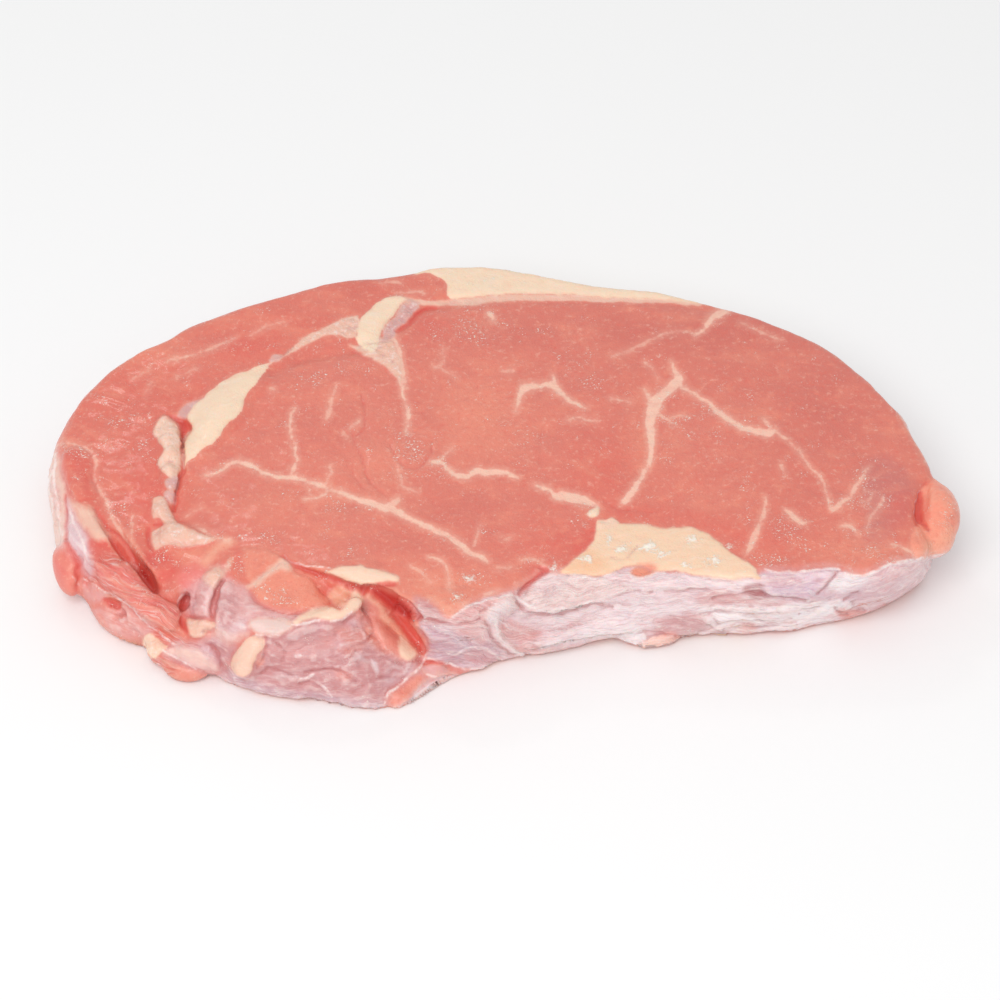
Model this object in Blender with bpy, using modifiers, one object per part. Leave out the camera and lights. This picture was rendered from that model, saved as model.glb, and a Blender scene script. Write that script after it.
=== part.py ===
"""Raw veal entrecote: a boneless rib steak lying on its lower cut face.

+X runs along the steak, -Y is the side with the membrane and the loose front lobe, +Z is up.
The named sizes are in millimetres and the meshes are made in metres.
"""
import math

import bmesh
import bpy
import numpy as np
from mathutils import Euler, Matrix, Vector, noise

COLLECTION_NAME = "veal_entrecote"
CUTTER_COLLECTION_NAME = "veal_entrecote_cutters"
NODE_NAME = "entrecote"
MM = 0.001

# Driving dimensions
THICKNESS = 20.0            # slab, between its two cut faces
TRIANGLES = 11400           # faces of the finished solid
VOXEL = 0.70                # grain of the fused flesh
SOFTENING = 0.5             # how far each repeat moves a point of the skin towards its neighbours
FUSED_SOFTENING = 3         # repeats once the bodies are fused
CARVED_SOFTENING = 4        # repeats once the crevices are cut
RING_POINTS = 220           # points round a lofted ring
LUMP_SEGMENTS, LUMP_RINGS = 40, 24
WALL_RINGS = 9              # rings from the foot of a wall up to its rim
FOOT_ROUND = 1.4            # how far the walls draw in where they meet the lower cut face
RIM_ROUND = 0.5             # and the upper one
FOOT_SHARPNESS = 9          # the higher, the lower down the wall the foot's rounding begins
RIM_SHARPNESS = 12
CAP_SEAM = 0.001            # points closer than this are one point where a strand is capped
LOOSE_SEAM = 0.02           # points closer than this are one point once the base is cut
BASE_SHAVE = 0.35           # flesh flattened against the surface it lies on
BASE_MIDDLE = (-0.37, -2.19)    # middle of the finished steak, in the frame of the outlines below

# Slab: rim of the upper cut face, clockwise seen from above, from the left end
SLAB_RIM = [
    (-86.0, -4.0), (-86.8, 4.5), (-84.5, 14.0), (-79.0, 21.6), (-73.6, 27.0), (-69.2, 29.4),
    (-61.5, 35.4), (-53.4, 39.4), (-43.3, 43.8), (-33.2, 47.2), (-20.7, 49.0), (-13.0, 51.6),
    (0.0, 51.2), (12.4, 47.8), (22.0, 45.2), (33.0, 43.2), (49.0, 37.6), (59.0, 32.0),
    (66.9, 25.6), (74.6, 14.8), (79.8, 5.6), (83.0, -4.0), (84.0, -13.0), (82.4, -24.0),
    (81.5, -31.0), (77.0, -36.0), (70.0, -38.6), (60.0, -38.2), (45.0, -40.3), (25.0, -40.0),
    (12.0, -39.0), (6.0, -41.5), (0.0, -46.0), (-6.0, -48.2), (-11.0, -49.4), (-16.0, -47.0),
    (-22.0, -43.2), (-30.0, -39.6), (-40.0, -36.6), (-50.0, -36.0), (-60.0, -35.5),
    (-68.0, -31.5), (-76.0, -24.5), (-82.0, -15.0),
]
# Slab: edge of the lower cut face
SLAB_FOOT = [
    (-84.0, -6.0), (-83.5, 6.0), (-79.0, 15.0), (-67.0, 26.5), (-56.0, 33.5), (-44.0, 39.0),
    (-30.0, 44.0), (-14.0, 47.0), (0.0, 46.8), (15.0, 43.0), (30.0, 39.8), (45.0, 35.4),
    (58.0, 28.6), (69.0, 19.5), (77.0, 8.6), (82.0, -2.0), (85.6, -12.0), (82.6, -22.4),
    (76.0, -28.6), (66.0, -33.4), (54.0, -35.0), (40.0, -36.6), (30.8, -38.6), (20.0, -38.6),
    (10.0, -41.8), (-2.0, -44.6), (-14.0, -45.5), (-30.0, -43.0), (-53.0, -44.0), (-62.0, -43.8),
    (-73.4, -36.5), (-80.0, -29.0), (-84.0, -18.0),
]
SLAB_CENTRE = (0.0, -2.0)
# Wall of the slab: how far it swells at mid height, as (direction in degrees, swell)
WALL_SWELL = [(0, 1.8), (60, 2.2), (120, 2.0), (160, 3.4), (185, 4.8), (205, 3.2), (225, 1.2), (260, 0.4),
              (310, 0.6)]
# Upper cut face: soft hills and hollows, as (x, y, reach along x, reach along y, rise)
CUT_FACE_SWELLS = [
    (-92.0, -8.0, 22.0, 46.0, -5.2),     # falls away to the left end
    (-66.0, -40.0, 17.0, 14.0, -4.6),    # falls away to the front left
    (-47.0, -40.0, 13.0, 10.0, -1.8),    # runs down into the front lobe
    (-50.0, 34.0, 34.0, 12.0, -1.0),
    (-2.0, -12.0, 26.0, 20.0, 0.7),
    (40.0, 12.0, 24.0, 20.0, 0.5),
    (14.0, 10.0, 12.0, 16.0, -0.5),
    (34.0, -12.0, 12.0, 18.0, -0.7),
    (62.0, -16.0, 20.0, 16.0, 0.6),
    (-40.0, 4.0, 18.0, 16.0, 0.7),
    (-24.0, -2.0, 8.0, 20.0, -0.6),
    (84.0, -20.0, 8.0, 22.0, -1.2),
    (-10.0, -44.0, 14.0, 9.0, -0.9),
    (30.0, -38.0, 20.0, 6.0, -1.3),      # the rim is rounded under the front fat
]

# Front lobe: a loose block of flesh folded against the left front of the slab
LOBE_RIM = [
    (-17.6, -40.0), (-15.4, -44.6), (-16.0, -49.2), (-20.6, -49.4), (-25.4, -47.0), (-29.6, -47.0),
    (-34.0, -48.2), (-40.0, -49.0), (-46.0, -48.8), (-52.0, -46.0), (-56.0, -40.0), (-53.0, -32.0),
    (-42.0, -29.0), (-30.0, -31.0),
]
LOBE_FOOT = [
    (-15.4, -43.0), (-14.8, -48.6), (-17.5, -54.0), (-22.0, -57.0), (-30.0, -55.6), (-38.0, -53.8),
    (-47.0, -52.2), (-53.5, -48.6), (-58.0, -41.0), (-54.0, -33.0), (-42.0, -30.0), (-28.0, -31.0),
]
LOBE_CENTRE = (-38.0, -41.0)
LOBE_HEIGHT = 16.6
LOBE_SLOPE = 0.17            # rise of its top for each millimetre away from the viewer
LOBE_FALL = 9.6              # drop of its top at the right end
LOBE_FALL_SPAN = (-29.0, -14.5)    # stretch of x over which it drops
LOBE_SWELL = 1.6

# Soft lumps, as (name, centre, half sizes, turns about x, y and z in degrees)
LUMPS = [
    ("left_flap", (-72.6, -28.0, 8.0), (20.0, 4.0, 8.2), (38, 0, -49)),
    ("left_flap_foot", (-69.5, -34.0, 5.4), (13.0, 5.0, 5.2), (20, 0, -42)),
    ("left_nodule", (-83.4, -24.4, 7.2), (2.9, 5.8, 4.2), (18, 10, 16)),
    ("under_flap", (-73.2, -33.8, 3.4), (7.6, 4.6, 3.6), (10, 0, -42)),
    ("cream_bump", (-64.0, -43.2, 3.4), (3.4, 3.4, 3.4), (0, 0, -35)),
    ("membrane_bump", (-57.0, -44.4, 4.4), (6.4, 4.0, 4.2), (10, 0, -22)),
    ("salmon_bump", (-60.2, -45.2, 2.0), (5.0, 3.8, 2.8), (0, 0, -25)),
    ("right_nub", (84.8, -16.6, 14.4), (4.2, 8.0, 5.0), (-14, 0, 6)),
    ("right_nub_tip", (84.8, -23.0, 14.4), (2.6, 5.0, 3.8), (-16, 0, -12)),
    ("front_rim_bulge", (-9.0, -44.6, 15.0), (9.0, 5.4, 5.0), (0, 0, 0)),
    ("membrane_roll", (-53.4, -38.4, 12.0), (3.4, 7.0, 5.4), (30, 0, 12)),
    ("membrane_drape", (-46.0, -45.6, 12.2), (7.0, 4.4, 4.4), (20, 0, 4)),
]

# Strands, as (name, height factor of the section, points of (x, y, z, radius))
STRANDS = [
    ("fat_lens", 0.7, [(-47.6, 18.8, 19.6, 1.0), (-52.6, 12.4, 19.2, 3.0), (-57.4, 4.4, 18.8, 3.7),
                       (-60.8, -4.6, 18.4, 2.2), (-61.8, -9.4, 18.0, 0.8)]),
    ("tendon_upper", 0.9, [(-67.0, 6.2, 17.2, 1.3), (-65.0, 0.2, 17.6, 1.9), (-64.8, -5.4, 17.6, 1.7)]),
    ("tendon_lower", 0.9, [(-64.8, -7.8, 17.6, 1.7), (-64.2, -11.8, 17.4, 1.5), (-63.8, -14.4, 17.2, 1.1)]),
    ("star_fat_stem", 0.8, [(-66.4, -15.6, 16.2, 1.2), (-65.0, -20.4, 16.0, 1.5), (-61.6, -24.8, 16.6, 2.0),
                            (-55.8, -26.8, 16.6, 0.9)]),
    ("star_fat_foot", 0.8, [(-66.9, -25.4, 14.8, 1.7), (-62.6, -26.2, 16.0, 1.9)]),
    ("junction_fat", 0.6, [(-21.8, 39.6, 19.2, 1.6), (-24.6, 34.0, 19.2, 2.2), (-27.4, 28.0, 19.2, 1.6)]),
    ("crevice_fat", 0.8, [(-33.4, -37.8, 18.2, 0.8), (-28.8, -37.4, 18.8, 1.8), (-24.0, -38.2, 18.8, 1.9),
                          (-19.4, -39.9, 18.6, 1.0)]),
    ("lobe_lip", 0.9, [(-43.6, -49.2, 14.2, 1.4), (-39.4, -49.0, 15.0, 1.8), (-34.0, -48.2, 15.6, 1.9),
                       (-28.8, -45.6, 16.2, 2.0), (-25.8, -41.6, 15.8, 1.8), (-27.2, -39.4, 16.4, 1.3)]),
    ("cream_tag", 1.0, [(-44.8, -50.4, 12.2, 1.8), (-47.0, -51.8, 9.2, 2.3), (-48.8, -52.6, 6.6, 2.0)]),
    ("tendon_scrap", 1.0, [(-60.4, -41.6, 9.2, 0.9), (-57.8, -44.0, 9.4, 1.5), (-55.0, -45.8, 10.6, 1.2)]),
    ("base_flap", 0.45, [(-21.4, -54.6, 1.3, 3.6), (-16.0, -49.4, 1.4, 3.8), (-9.6, -45.8, 1.5, 2.8),
                         (-2.0, -44.8, 1.5, 1.4)]),
    ("base_scrap", 0.8, [(-13.8, -47.6, 4.4, 1.4), (-11.0, -47.2, 4.2, 1.7)]),
    ("wall_foot_left", 0.6, [(24.0, -37.8, 1.8, 1.8), (29.6, -38.2, 1.8, 2.5), (34.0, -37.4, 1.8, 1.4)]),
    ("wall_foot_mid", 0.5, [(38.0, -36.0, 1.8, 1.4), (45.0, -35.0, 1.9, 2.2), (54.0, -34.4, 1.9, 2.2),
                            (60.0, -33.6, 1.8, 1.2)]),
    ("wall_foot_right", 0.8, [(63.0, -33.0, 3.0, 1.6), (69.0, -31.4, 3.6, 2.7), (76.0, -27.8, 3.4, 1.8)]),
    ("wall_roll", 0.8, [(2.0, -43.6, 14.6, 1.6), (12.0, -39.6, 14.2, 2.4), (24.0, -38.4, 14.4, 2.4),
                        (36.0, -38.2, 14.0, 1.4)]),
    ("wall_belly", 0.7, [(4.0, -43.2, 6.0, 2.0), (18.0, -38.8, 6.6, 3.0), (34.0, -37.4, 6.4, 1.8)]),
    ("fat_cap_edge", 0.9, [(-12.0, 47.2, 17.4, 2.8), (0.0, 47.4, 17.2, 3.2), (14.0, 43.9, 17.2, 3.0),
                           (30.0, 41.0, 17.4, 2.4), (44.0, 37.4, 17.6, 1.4)]),
]

# Crevices cut into the flesh, as (name, height factor of the section, points of (x, y, z, radius))
CREVICES = [
    ("lobe_crevice", 3.2, [(-41.4, -35.2, 20.2, 0.6), (-36.0, -37.6, 18.8, 0.9), (-30.0, -40.6, 16.8, 1.1),
                           (-24.6, -42.2, 14.8, 1.4), (-19.4, -43.6, 12.4, 1.9), (-15.2, -46.4, 9.6, 1.6),
                           (-13.0, -50.0, 7.0, 1.2)]),
    ("lip_pocket", 1.6, [(-35.2, -41.6, 17.6, 1.1), (-31.8, -41.4, 16.8, 1.9), (-29.8, -40.6, 16.8, 1.3)]),
    ("flap_crevice", 2.0, [(-79.6, -15.0, 17.4, 0.9), (-76.6, -20.6, 16.0, 1.3), (-72.0, -27.0, 14.6, 1.7),
                           (-67.6, -33.0, 13.2, 2.0), (-65.6, -37.0, 12.2, 1.0)]),
    ("nub_crevice", 2.2, [(83.4, -11.4, 18.8, 0.8), (81.6, -18.4, 19.6, 1.4), (80.8, -24.6, 19.8, 1.4),
                          (82.4, -30.0, 19.0, 0.7)]),
    ("lens_hole", 2.0, [(-65.2, 5.4, 18.8, 0.6), (-62.9, 1.6, 18.4, 1.3), (-62.2, -2.4, 18.2, 0.7)]),
    ("upper_hole", 1.4, [(-61.6, -38.4, 12.4, 1.5), (-58.8, -36.0, 10.6, 1.2)]),
    ("lower_hole", 1.2, [(-60.6, -43.4, 8.6, 1.3), (-57.6, -41.0, 7.6, 1.1)]),
    ("flap_hole", 1.0, [(-76.6, -36.2, 7.8, 1.0), (-73.8, -36.2, 7.2, 1.6), (-71.4, -37.0, 6.4, 1.0)]),
    ("roll_crease", 1.6, [(-52.4, -36.2, 17.6, 0.7), (-53.6, -40.8, 16.6, 1.0), (-54.6, -46.2, 12.4, 1.0),
                          (-54.4, -48.6, 8.6, 0.8)]),
    ("tag_crease", 1.4, [(-52.4, -49.4, 6.6, 0.9), (-52.2, -49.8, 3.8, 1.2), (-51.4, -50.6, 1.0, 1.2)]),
    ("nodule_crease", 1.4, [(-82.6, -17.6, 11.6, 0.7), (-80.6, -25.0, 10.4, 1.0), (-80.0, -31.0, 6.4, 0.9)]),
    ("bump_crease", 1.2, [(-66.6, -41.6, 7.2, 0.8), (-62.0, -46.0, 6.0, 0.8), (-61.2, -47.6, 3.6, 0.9)]),
    ("rim_nick", 2.0, [(9.0, -38.4, 19.6, 0.6), (5.6, -41.4, 17.6, 1.0), (2.6, -45.0, 14.4, 0.6)]),
    ("base_flap_slit", 0.5, [(-17.0, -53.8, 3.8, 0.9), (-12.6, -50.4, 4.2, 1.2), (-6.0, -48.0, 3.6, 1.0),
                             (0.0, -47.4, 3.0, 0.7)]),
    ("wall_fold_right", 0.6, [(36.0, -40.2, 10.2, 0.8), (45.0, -39.8, 12.6, 1.3), (56.0, -38.8, 11.4, 0.8)]),
    ("wall_fold_foot", 0.5, [(36.0, -40.0, 4.6, 0.7), (48.0, -37.6, 4.2, 1.1), (60.0, -36.4, 5.0, 1.1),
                             (74.0, -33.6, 6.4, 1.0)]),
]

# Seams between the muscles, pressed into the upper cut face: (width, depth, points of (x, y))
SEAMS = [
    (2.0, 0.9, [(-10.0, 39.6), (-18.0, 37.6), (-24.0, 29.0), (-30.0, 25.6), (-40.0, 23.6), (-47.0, 19.6)]),
    (2.2, 1.1, [(-60.6, 8.4), (-63.0, 0.0), (-61.8, -12.0), (-62.4, -20.0), (-66.8, -24.0), (-67.4, -32.0)]),
    (1.4, 0.5, [(-10.0, 40.2), (14.0, 40.4), (30.0, 40.0), (44.0, 37.4)]),
]

# Waviness of the skin, as (wavelengths along x, y and z, height); the walls are wavier than the cut face
CUT_FACE_WAVES = [((26.0, 22.0, 40.0), 0.35), ((9.0, 8.0, 30.0), 0.16)]
WALL_WAVES = [((22.0, 22.0, 9.0), 0.9), ((9.0, 9.0, 4.5), 0.4)]
WAVE_SHIFTS = [(0.0, 5.1, 3.7), (17.3, 5.1, 3.7)]    # where each row of a table starts in the noise
# Upright part of a skin normal at which cut-face relief starts and is full, and wall relief ends
UP_FROM, UP_FULL, SIDE_UNTIL = 0.4, 0.8, 0.7

LEAN_COLOUR = (0.700, 0.222, 0.170, 1.0)
LEAN_ROUGHNESS = 0.38


def clear_scene():
    """Remove the objects that the file starts with."""
    for item in list(bpy.data.objects):
        bpy.data.objects.remove(item, do_unlink=True)


def new_collection(name):
    """Make a collection in the scene."""
    collection = bpy.data.collections.new(name)
    bpy.context.scene.collection.children.link(collection)
    return collection


def mesh_object(name, mesh, collection):
    """Put a mesh in the scene as an object."""
    item = bpy.data.objects.new(name, mesh)
    collection.objects.link(item)
    return item


def smooth_outline(points, samples_per_span=8):
    """Run a closed Catmull-Rom curve through the points of an outline."""
    ring = np.array(points, dtype=float)
    before, after, beyond = (np.roll(ring, shift, axis=0) for shift in (1, -1, -2))
    steps = np.arange(samples_per_span) / samples_per_span
    spans = []
    for t in steps:
        spans.append(0.5 * (2 * ring + (after - before) * t
                            + (2 * before - 5 * ring + 4 * after - beyond) * t ** 2
                            + (3 * ring - before - 3 * after + beyond) * t ** 3))
    return np.stack(spans, axis=1).reshape(-1, ring.shape[1])


def polar_radii(points, centre, angles):
    """Distance from a centre to a smooth outline in each direction."""
    outline = smooth_outline(points) - np.array(centre)
    directions = np.arctan2(outline[:, 1], outline[:, 0])
    distances = np.hypot(outline[:, 0], outline[:, 1])
    order = np.argsort(directions)
    return np.interp(angles, directions[order], distances[order], period=2 * math.pi)


def loft(name, foot, rim, centre, height, swell, collection):
    """Loft a closed body from a foot outline up to a rim, with walls that swell and edges that round off."""
    angles = np.linspace(-math.pi, math.pi, RING_POINTS, endpoint=False)
    foot_radii = polar_radii(foot, centre, angles)
    rim_radii = polar_radii(rim, centre, angles)
    bm = bmesh.new()
    rings = []
    for rise in np.linspace(0.0, 1.0, WALL_RINGS):
        radii = foot_radii + (rim_radii - foot_radii) * rise + swell(angles) * math.sin(math.pi * rise)
        radii -= FOOT_ROUND * (1 - rise) ** FOOT_SHARPNESS + RIM_ROUND * rise ** RIM_SHARPNESS
        rings.append([bm.verts.new((centre[0] + r * math.cos(a), centre[1] + r * math.sin(a), height * rise))
                      for r, a in zip(radii, angles)])
    for lower, upper in zip(rings, rings[1:]):
        for i in range(RING_POINTS):
            j = (i + 1) % RING_POINTS
            bm.faces.new((lower[i], lower[j], upper[j], upper[i]))
    bm.faces.new(list(reversed(rings[0])))
    bm.faces.new(rings[-1])
    mesh = bpy.data.meshes.new(name)
    bm.to_mesh(mesh)
    bm.free()
    return mesh_object(name, mesh, collection)


def hills(x, y):
    """Height of the upper cut face over or under the even slab."""
    rise = np.zeros_like(x)
    for cx, cy, reach_x, reach_y, height in CUT_FACE_SWELLS:
        rise += height * np.exp(-((x - cx) / reach_x) ** 2 - ((y - cy) / reach_y) ** 2)
    return rise


def read_points(item):
    """Vertex positions of an object's mesh, as an array."""
    points = np.empty(len(item.data.vertices) * 3)
    item.data.vertices.foreach_get("co", points)
    return points.reshape(-1, 3)


def write_points(item, points):
    """Move an object's vertices to new positions."""
    item.data.vertices.foreach_set("co", points.ravel())
    item.data.update()


def make_slab(collection):
    """The main slab, as thick as its cut face is high in each place."""
    directions = np.radians([row[0] for row in WALL_SWELL])
    swells = np.array([row[1] for row in WALL_SWELL])

    def swell(angles):
        return np.interp(angles, directions, swells, period=2 * math.pi)

    slab = loft("slab", SLAB_FOOT, SLAB_RIM, SLAB_CENTRE, THICKNESS, swell, collection)
    points = read_points(slab)
    points[:, 2] *= 1 + hills(points[:, 0], points[:, 1]) / THICKNESS
    write_points(slab, points)
    return slab


def make_front_lobe(collection):
    """The block folded against the front, with a top that slopes towards the viewer."""
    def swell(angles):
        return np.full_like(angles, LOBE_SWELL)

    lobe = loft("front_lobe", LOBE_FOOT, LOBE_RIM, LOBE_CENTRE, LOBE_HEIGHT, swell, collection)
    points = read_points(lobe)
    rise = LOBE_SLOPE * (points[:, 1] - LOBE_CENTRE[1])
    begin, end = LOBE_FALL_SPAN
    rise -= LOBE_FALL * np.clip((points[:, 0] - begin) / (end - begin), 0.0, 1.0)
    points[:, 2] *= 1 + rise / LOBE_HEIGHT
    write_points(lobe, points)
    return lobe


def make_lump(name, centre, half_sizes, turns, collection):
    """An egg-shaped lump of flesh or fat."""
    bm = bmesh.new()
    bmesh.ops.create_uvsphere(bm, u_segments=LUMP_SEGMENTS, v_segments=LUMP_RINGS, radius=1.0)
    turn = Euler([math.radians(angle) for angle in turns]).to_matrix().to_4x4()
    place = Matrix.Translation(Vector(centre)) @ turn @ Matrix.Diagonal((*half_sizes, 1.0))
    bm.transform(place)
    mesh = bpy.data.meshes.new(name)
    bm.to_mesh(mesh)
    bm.free()
    return mesh_object(name, mesh, collection)


def make_strand(name, height_factor, points, collection):
    """A round strand of changing thickness along a smooth path, with its section made taller or flatter."""
    curve = bpy.data.curves.new(name, "CURVE")
    curve.dimensions = "3D"
    curve.bevel_depth = 1.0
    curve.bevel_resolution = 4
    curve.use_fill_caps = True
    curve.resolution_u = 6
    spline = curve.splines.new("NURBS")
    ends = [points[0]] + list(points) + [points[-1]]
    spline.points.add(len(ends) - 1)
    for knot, (x, y, z, radius) in zip(spline.points, ends):
        knot.co = (x, y, z / height_factor, 1.0)
        knot.radius = radius
    spline.order_u = 3
    spline.use_endpoint_u = True
    guide = bpy.data.objects.new(name + "_guide", curve)
    collection.objects.link(guide)
    bpy.context.view_layer.update()
    evaluated = guide.evaluated_get(bpy.context.evaluated_depsgraph_get())
    mesh = bpy.data.meshes.new_from_object(evaluated)
    bpy.data.objects.remove(guide, do_unlink=True)
    mesh.name = name
    bm = bmesh.new()
    bm.from_mesh(mesh)
    bmesh.ops.remove_doubles(bm, verts=bm.verts, dist=CAP_SEAM)
    bm.transform(Matrix.Diagonal((1.0, 1.0, height_factor, 1.0)))
    bmesh.ops.recalc_face_normals(bm, faces=bm.faces)
    bm.to_mesh(mesh)
    bm.free()
    return mesh_object(name, mesh, collection)


def apply_modifiers(item):
    """Turn an object's modifiers into its mesh."""
    bpy.context.view_layer.update()
    evaluated = item.evaluated_get(bpy.context.evaluated_depsgraph_get())
    mesh = bpy.data.meshes.new_from_object(evaluated)
    item.modifiers.clear()
    item.data = mesh


def join_meshes(name, items, collection):
    """Put several closed meshes together in one object and remove the originals."""
    bm = bmesh.new()
    for item in items:
        bm.from_mesh(item.data)
    mesh = bpy.data.meshes.new(name)
    bm.to_mesh(mesh)
    bm.free()
    for item in items:
        bpy.data.objects.remove(item, do_unlink=True)
    return mesh_object(name, mesh, collection)


def fuse(item):
    """Melt overlapping bodies into one even skin."""
    remesh = item.modifiers.new("fuse", "REMESH")
    remesh.mode = "VOXEL"
    remesh.voxel_size = VOXEL
    remesh.adaptivity = 0.0
    apply_modifiers(item)


def soften(item, repeats):
    """Even out the skin."""
    smooth = item.modifiers.new("soften", "SMOOTH")
    smooth.factor = SOFTENING
    smooth.iterations = repeats
    apply_modifiers(item)


def carve(item, cutters):
    """Cut the crevices out of the flesh."""
    for cutter in cutters:
        cut = item.modifiers.new("crevice", "BOOLEAN")
        cut.operation = "DIFFERENCE"
        cut.solver = "MANIFOLD"
        cut.object = cutter
    apply_modifiers(item)


def path_distance(x, y, path):
    """Distance in plan from each point to a line of straight pieces."""
    nearest = np.full_like(x, np.inf)
    for (x0, y0), (x1, y1) in zip(path, path[1:]):
        run_x, run_y = x1 - x0, y1 - y0
        along = np.clip(((x - x0) * run_x + (y - y0) * run_y) / (run_x ** 2 + run_y ** 2), 0.0, 1.0)
        nearest = np.minimum(nearest, np.hypot(x - x0 - along * run_x, y - y0 - along * run_y))
    return nearest


def waves(points, table):
    """Soft random waviness, the same each time."""
    total = np.zeros(len(points))
    for (lengths, height), shift in zip(table, WAVE_SHIFTS):
        places = points / np.array(lengths) + np.array(shift)
        total += height * np.array([noise.noise(Vector(place)) for place in places])
    return total


def vertex_normals(item):
    """Vertex normals of an object's mesh, as an array."""
    normals = np.empty(len(item.data.vertices) * 3)
    item.data.vertices.foreach_get("normal", normals)
    return normals.reshape(-1, 3)


def press_seams(item):
    """Press the seams between the muscles into the upper cut face and make the skin wavy."""
    points = read_points(item)
    normals = vertex_normals(item)
    x, y = points[:, 0], points[:, 1]
    facing_up = np.clip((normals[:, 2] - UP_FROM) / (UP_FULL - UP_FROM), 0.0, 1.0)
    facing_side = np.clip(1.0 - abs(normals[:, 2]) / SIDE_UNTIL, 0.0, 1.0)
    for width, depth, path in SEAMS:
        fall = np.exp(-(path_distance(x, y, path) / width) ** 2)
        points[:, 2] -= depth * fall * facing_up
    push = waves(points, CUT_FACE_WAVES) * facing_up + waves(points, WALL_WAVES) * facing_side
    points += normals * push[:, None]
    write_points(item, points)


def thin_out(item):
    """Leave small faces only where the skin bends."""
    item.data.calc_loop_triangles()
    decimate = item.modifiers.new("thin_out", "DECIMATE")
    decimate.decimate_type = "COLLAPSE"
    decimate.use_collapse_triangulate = True
    decimate.ratio = TRIANGLES / len(item.data.loop_triangles)
    apply_modifiers(item)


def flatten_base(item):
    """Slice the underside flat, so that the steak lies on a true plane."""
    bm = bmesh.new()
    bm.from_mesh(item.data)
    everything = bm.verts[:] + bm.edges[:] + bm.faces[:]
    cut = bmesh.ops.bisect_plane(bm, geom=everything, plane_co=(0, 0, BASE_SHAVE), plane_no=(0, 0, 1),
                                 clear_inner=True)
    edges = [element for element in cut["geom_cut"] if isinstance(element, bmesh.types.BMEdge)]
    bmesh.ops.holes_fill(bm, edges=edges)
    bmesh.ops.remove_doubles(bm, verts=bm.verts, dist=LOOSE_SEAM)
    bmesh.ops.dissolve_degenerate(bm, edges=bm.edges, dist=LOOSE_SEAM)
    bmesh.ops.triangulate(bm, faces=bm.faces, quad_method="BEAUTY", ngon_method="BEAUTY")
    bmesh.ops.recalc_face_normals(bm, faces=bm.faces)
    bm.to_mesh(item.data)
    bm.free()


def centre_and_scale(item):
    """Put the middle of the base at the origin and turn millimetres into metres."""
    points = read_points(item)
    points -= np.array([*BASE_MIDDLE, BASE_SHAVE])
    write_points(item, points * MM)


def lean_meat_material():
    """Wet raw lean meat."""
    material = bpy.data.materials.new("raw_lean")
    material.use_nodes = True
    shader = material.node_tree.nodes["Principled BSDF"]
    shader.inputs["Base Color"].default_value = LEAN_COLOUR
    shader.inputs["Roughness"].default_value = LEAN_ROUGHNESS
    shader.inputs["Metallic"].default_value = 0.0
    return material


def build():
    """Model the steak."""
    clear_scene()
    parts = new_collection(COLLECTION_NAME)
    tools = new_collection(CUTTER_COLLECTION_NAME)
    bodies = [make_slab(parts), make_front_lobe(parts)]
    bodies += [make_lump(name, centre, sizes, turns, parts) for name, centre, sizes, turns in LUMPS]
    bodies += [make_strand(name, factor, path, parts) for name, factor, path in STRANDS]
    steak = join_meshes(NODE_NAME, bodies, parts)
    fuse(steak)
    soften(steak, FUSED_SOFTENING)
    cutters = [make_strand(name, factor, path, tools) for name, factor, path in CREVICES]
    for cutter in cutters:
        cutter.hide_render = True
        cutter.display_type = "WIRE"
    carve(steak, cutters)
    fuse(steak)
    soften(steak, CARVED_SOFTENING)
    press_seams(steak)
    thin_out(steak)
    flatten_base(steak)
    centre_and_scale(steak)
    for cutter in cutters:
        bpy.data.objects.remove(cutter, do_unlink=True)
    steak.data.shade_smooth()
    steak.data.materials.clear()
    steak.data.materials.append(lean_meat_material())


build()
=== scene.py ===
"""Raw veal entrecote: the looks of the steak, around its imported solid.

Lengths are in millimetres unless a name says otherwise, and the meshes are made in metres.
Places on the side that the photograph shows are pixels of its 1000 x 1000 frame, carried onto the
steak along the camera's own rays, so that what is drawn there sits on the flesh from every side.
"""
import math

import bpy
import numpy as np
from bpy.props import FloatProperty, FloatVectorProperty, IntProperty, PointerProperty
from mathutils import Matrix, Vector, noise


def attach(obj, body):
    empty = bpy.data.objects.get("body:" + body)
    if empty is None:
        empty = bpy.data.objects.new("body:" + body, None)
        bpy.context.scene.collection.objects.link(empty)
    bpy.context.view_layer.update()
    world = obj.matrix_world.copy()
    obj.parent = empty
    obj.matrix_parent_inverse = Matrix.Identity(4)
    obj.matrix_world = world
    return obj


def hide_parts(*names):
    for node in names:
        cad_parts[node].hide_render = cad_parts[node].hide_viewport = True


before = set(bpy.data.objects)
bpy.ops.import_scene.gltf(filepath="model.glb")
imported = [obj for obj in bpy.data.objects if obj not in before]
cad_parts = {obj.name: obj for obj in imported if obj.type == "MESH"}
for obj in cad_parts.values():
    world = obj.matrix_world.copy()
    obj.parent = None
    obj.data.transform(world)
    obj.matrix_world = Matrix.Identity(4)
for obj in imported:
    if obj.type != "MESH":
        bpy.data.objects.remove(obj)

bl_info = {
    "name": "Raw veal entrecote",
    "version": (1, 0, 0),
    "blender": (4, 5, 0),
    "location": "View3D > Sidebar > Steak",
    "description": "Builds a raw veal entrecote around its solid, with its fat, skin and marbling",
    "category": "Add Mesh",
}

NODE = "entrecote"
BODY = "root"
MM = 0.001

# The photograph's camera, in the frame of the solid
PHOTO_PIXELS = 1000.0
CAMERA_TARGET = (0.37, -6.81, 10.0)
CAMERA_DISTANCE = 657.0
CAMERA_ELEVATION = math.radians(44.0)
CAMERA_LENS = 120.0
CAMERA_SENSOR = 36.0
PIXELS_PER_MM = PHOTO_PIXELS * CAMERA_LENS / CAMERA_SENSOR / CAMERA_DISTANCE

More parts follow.
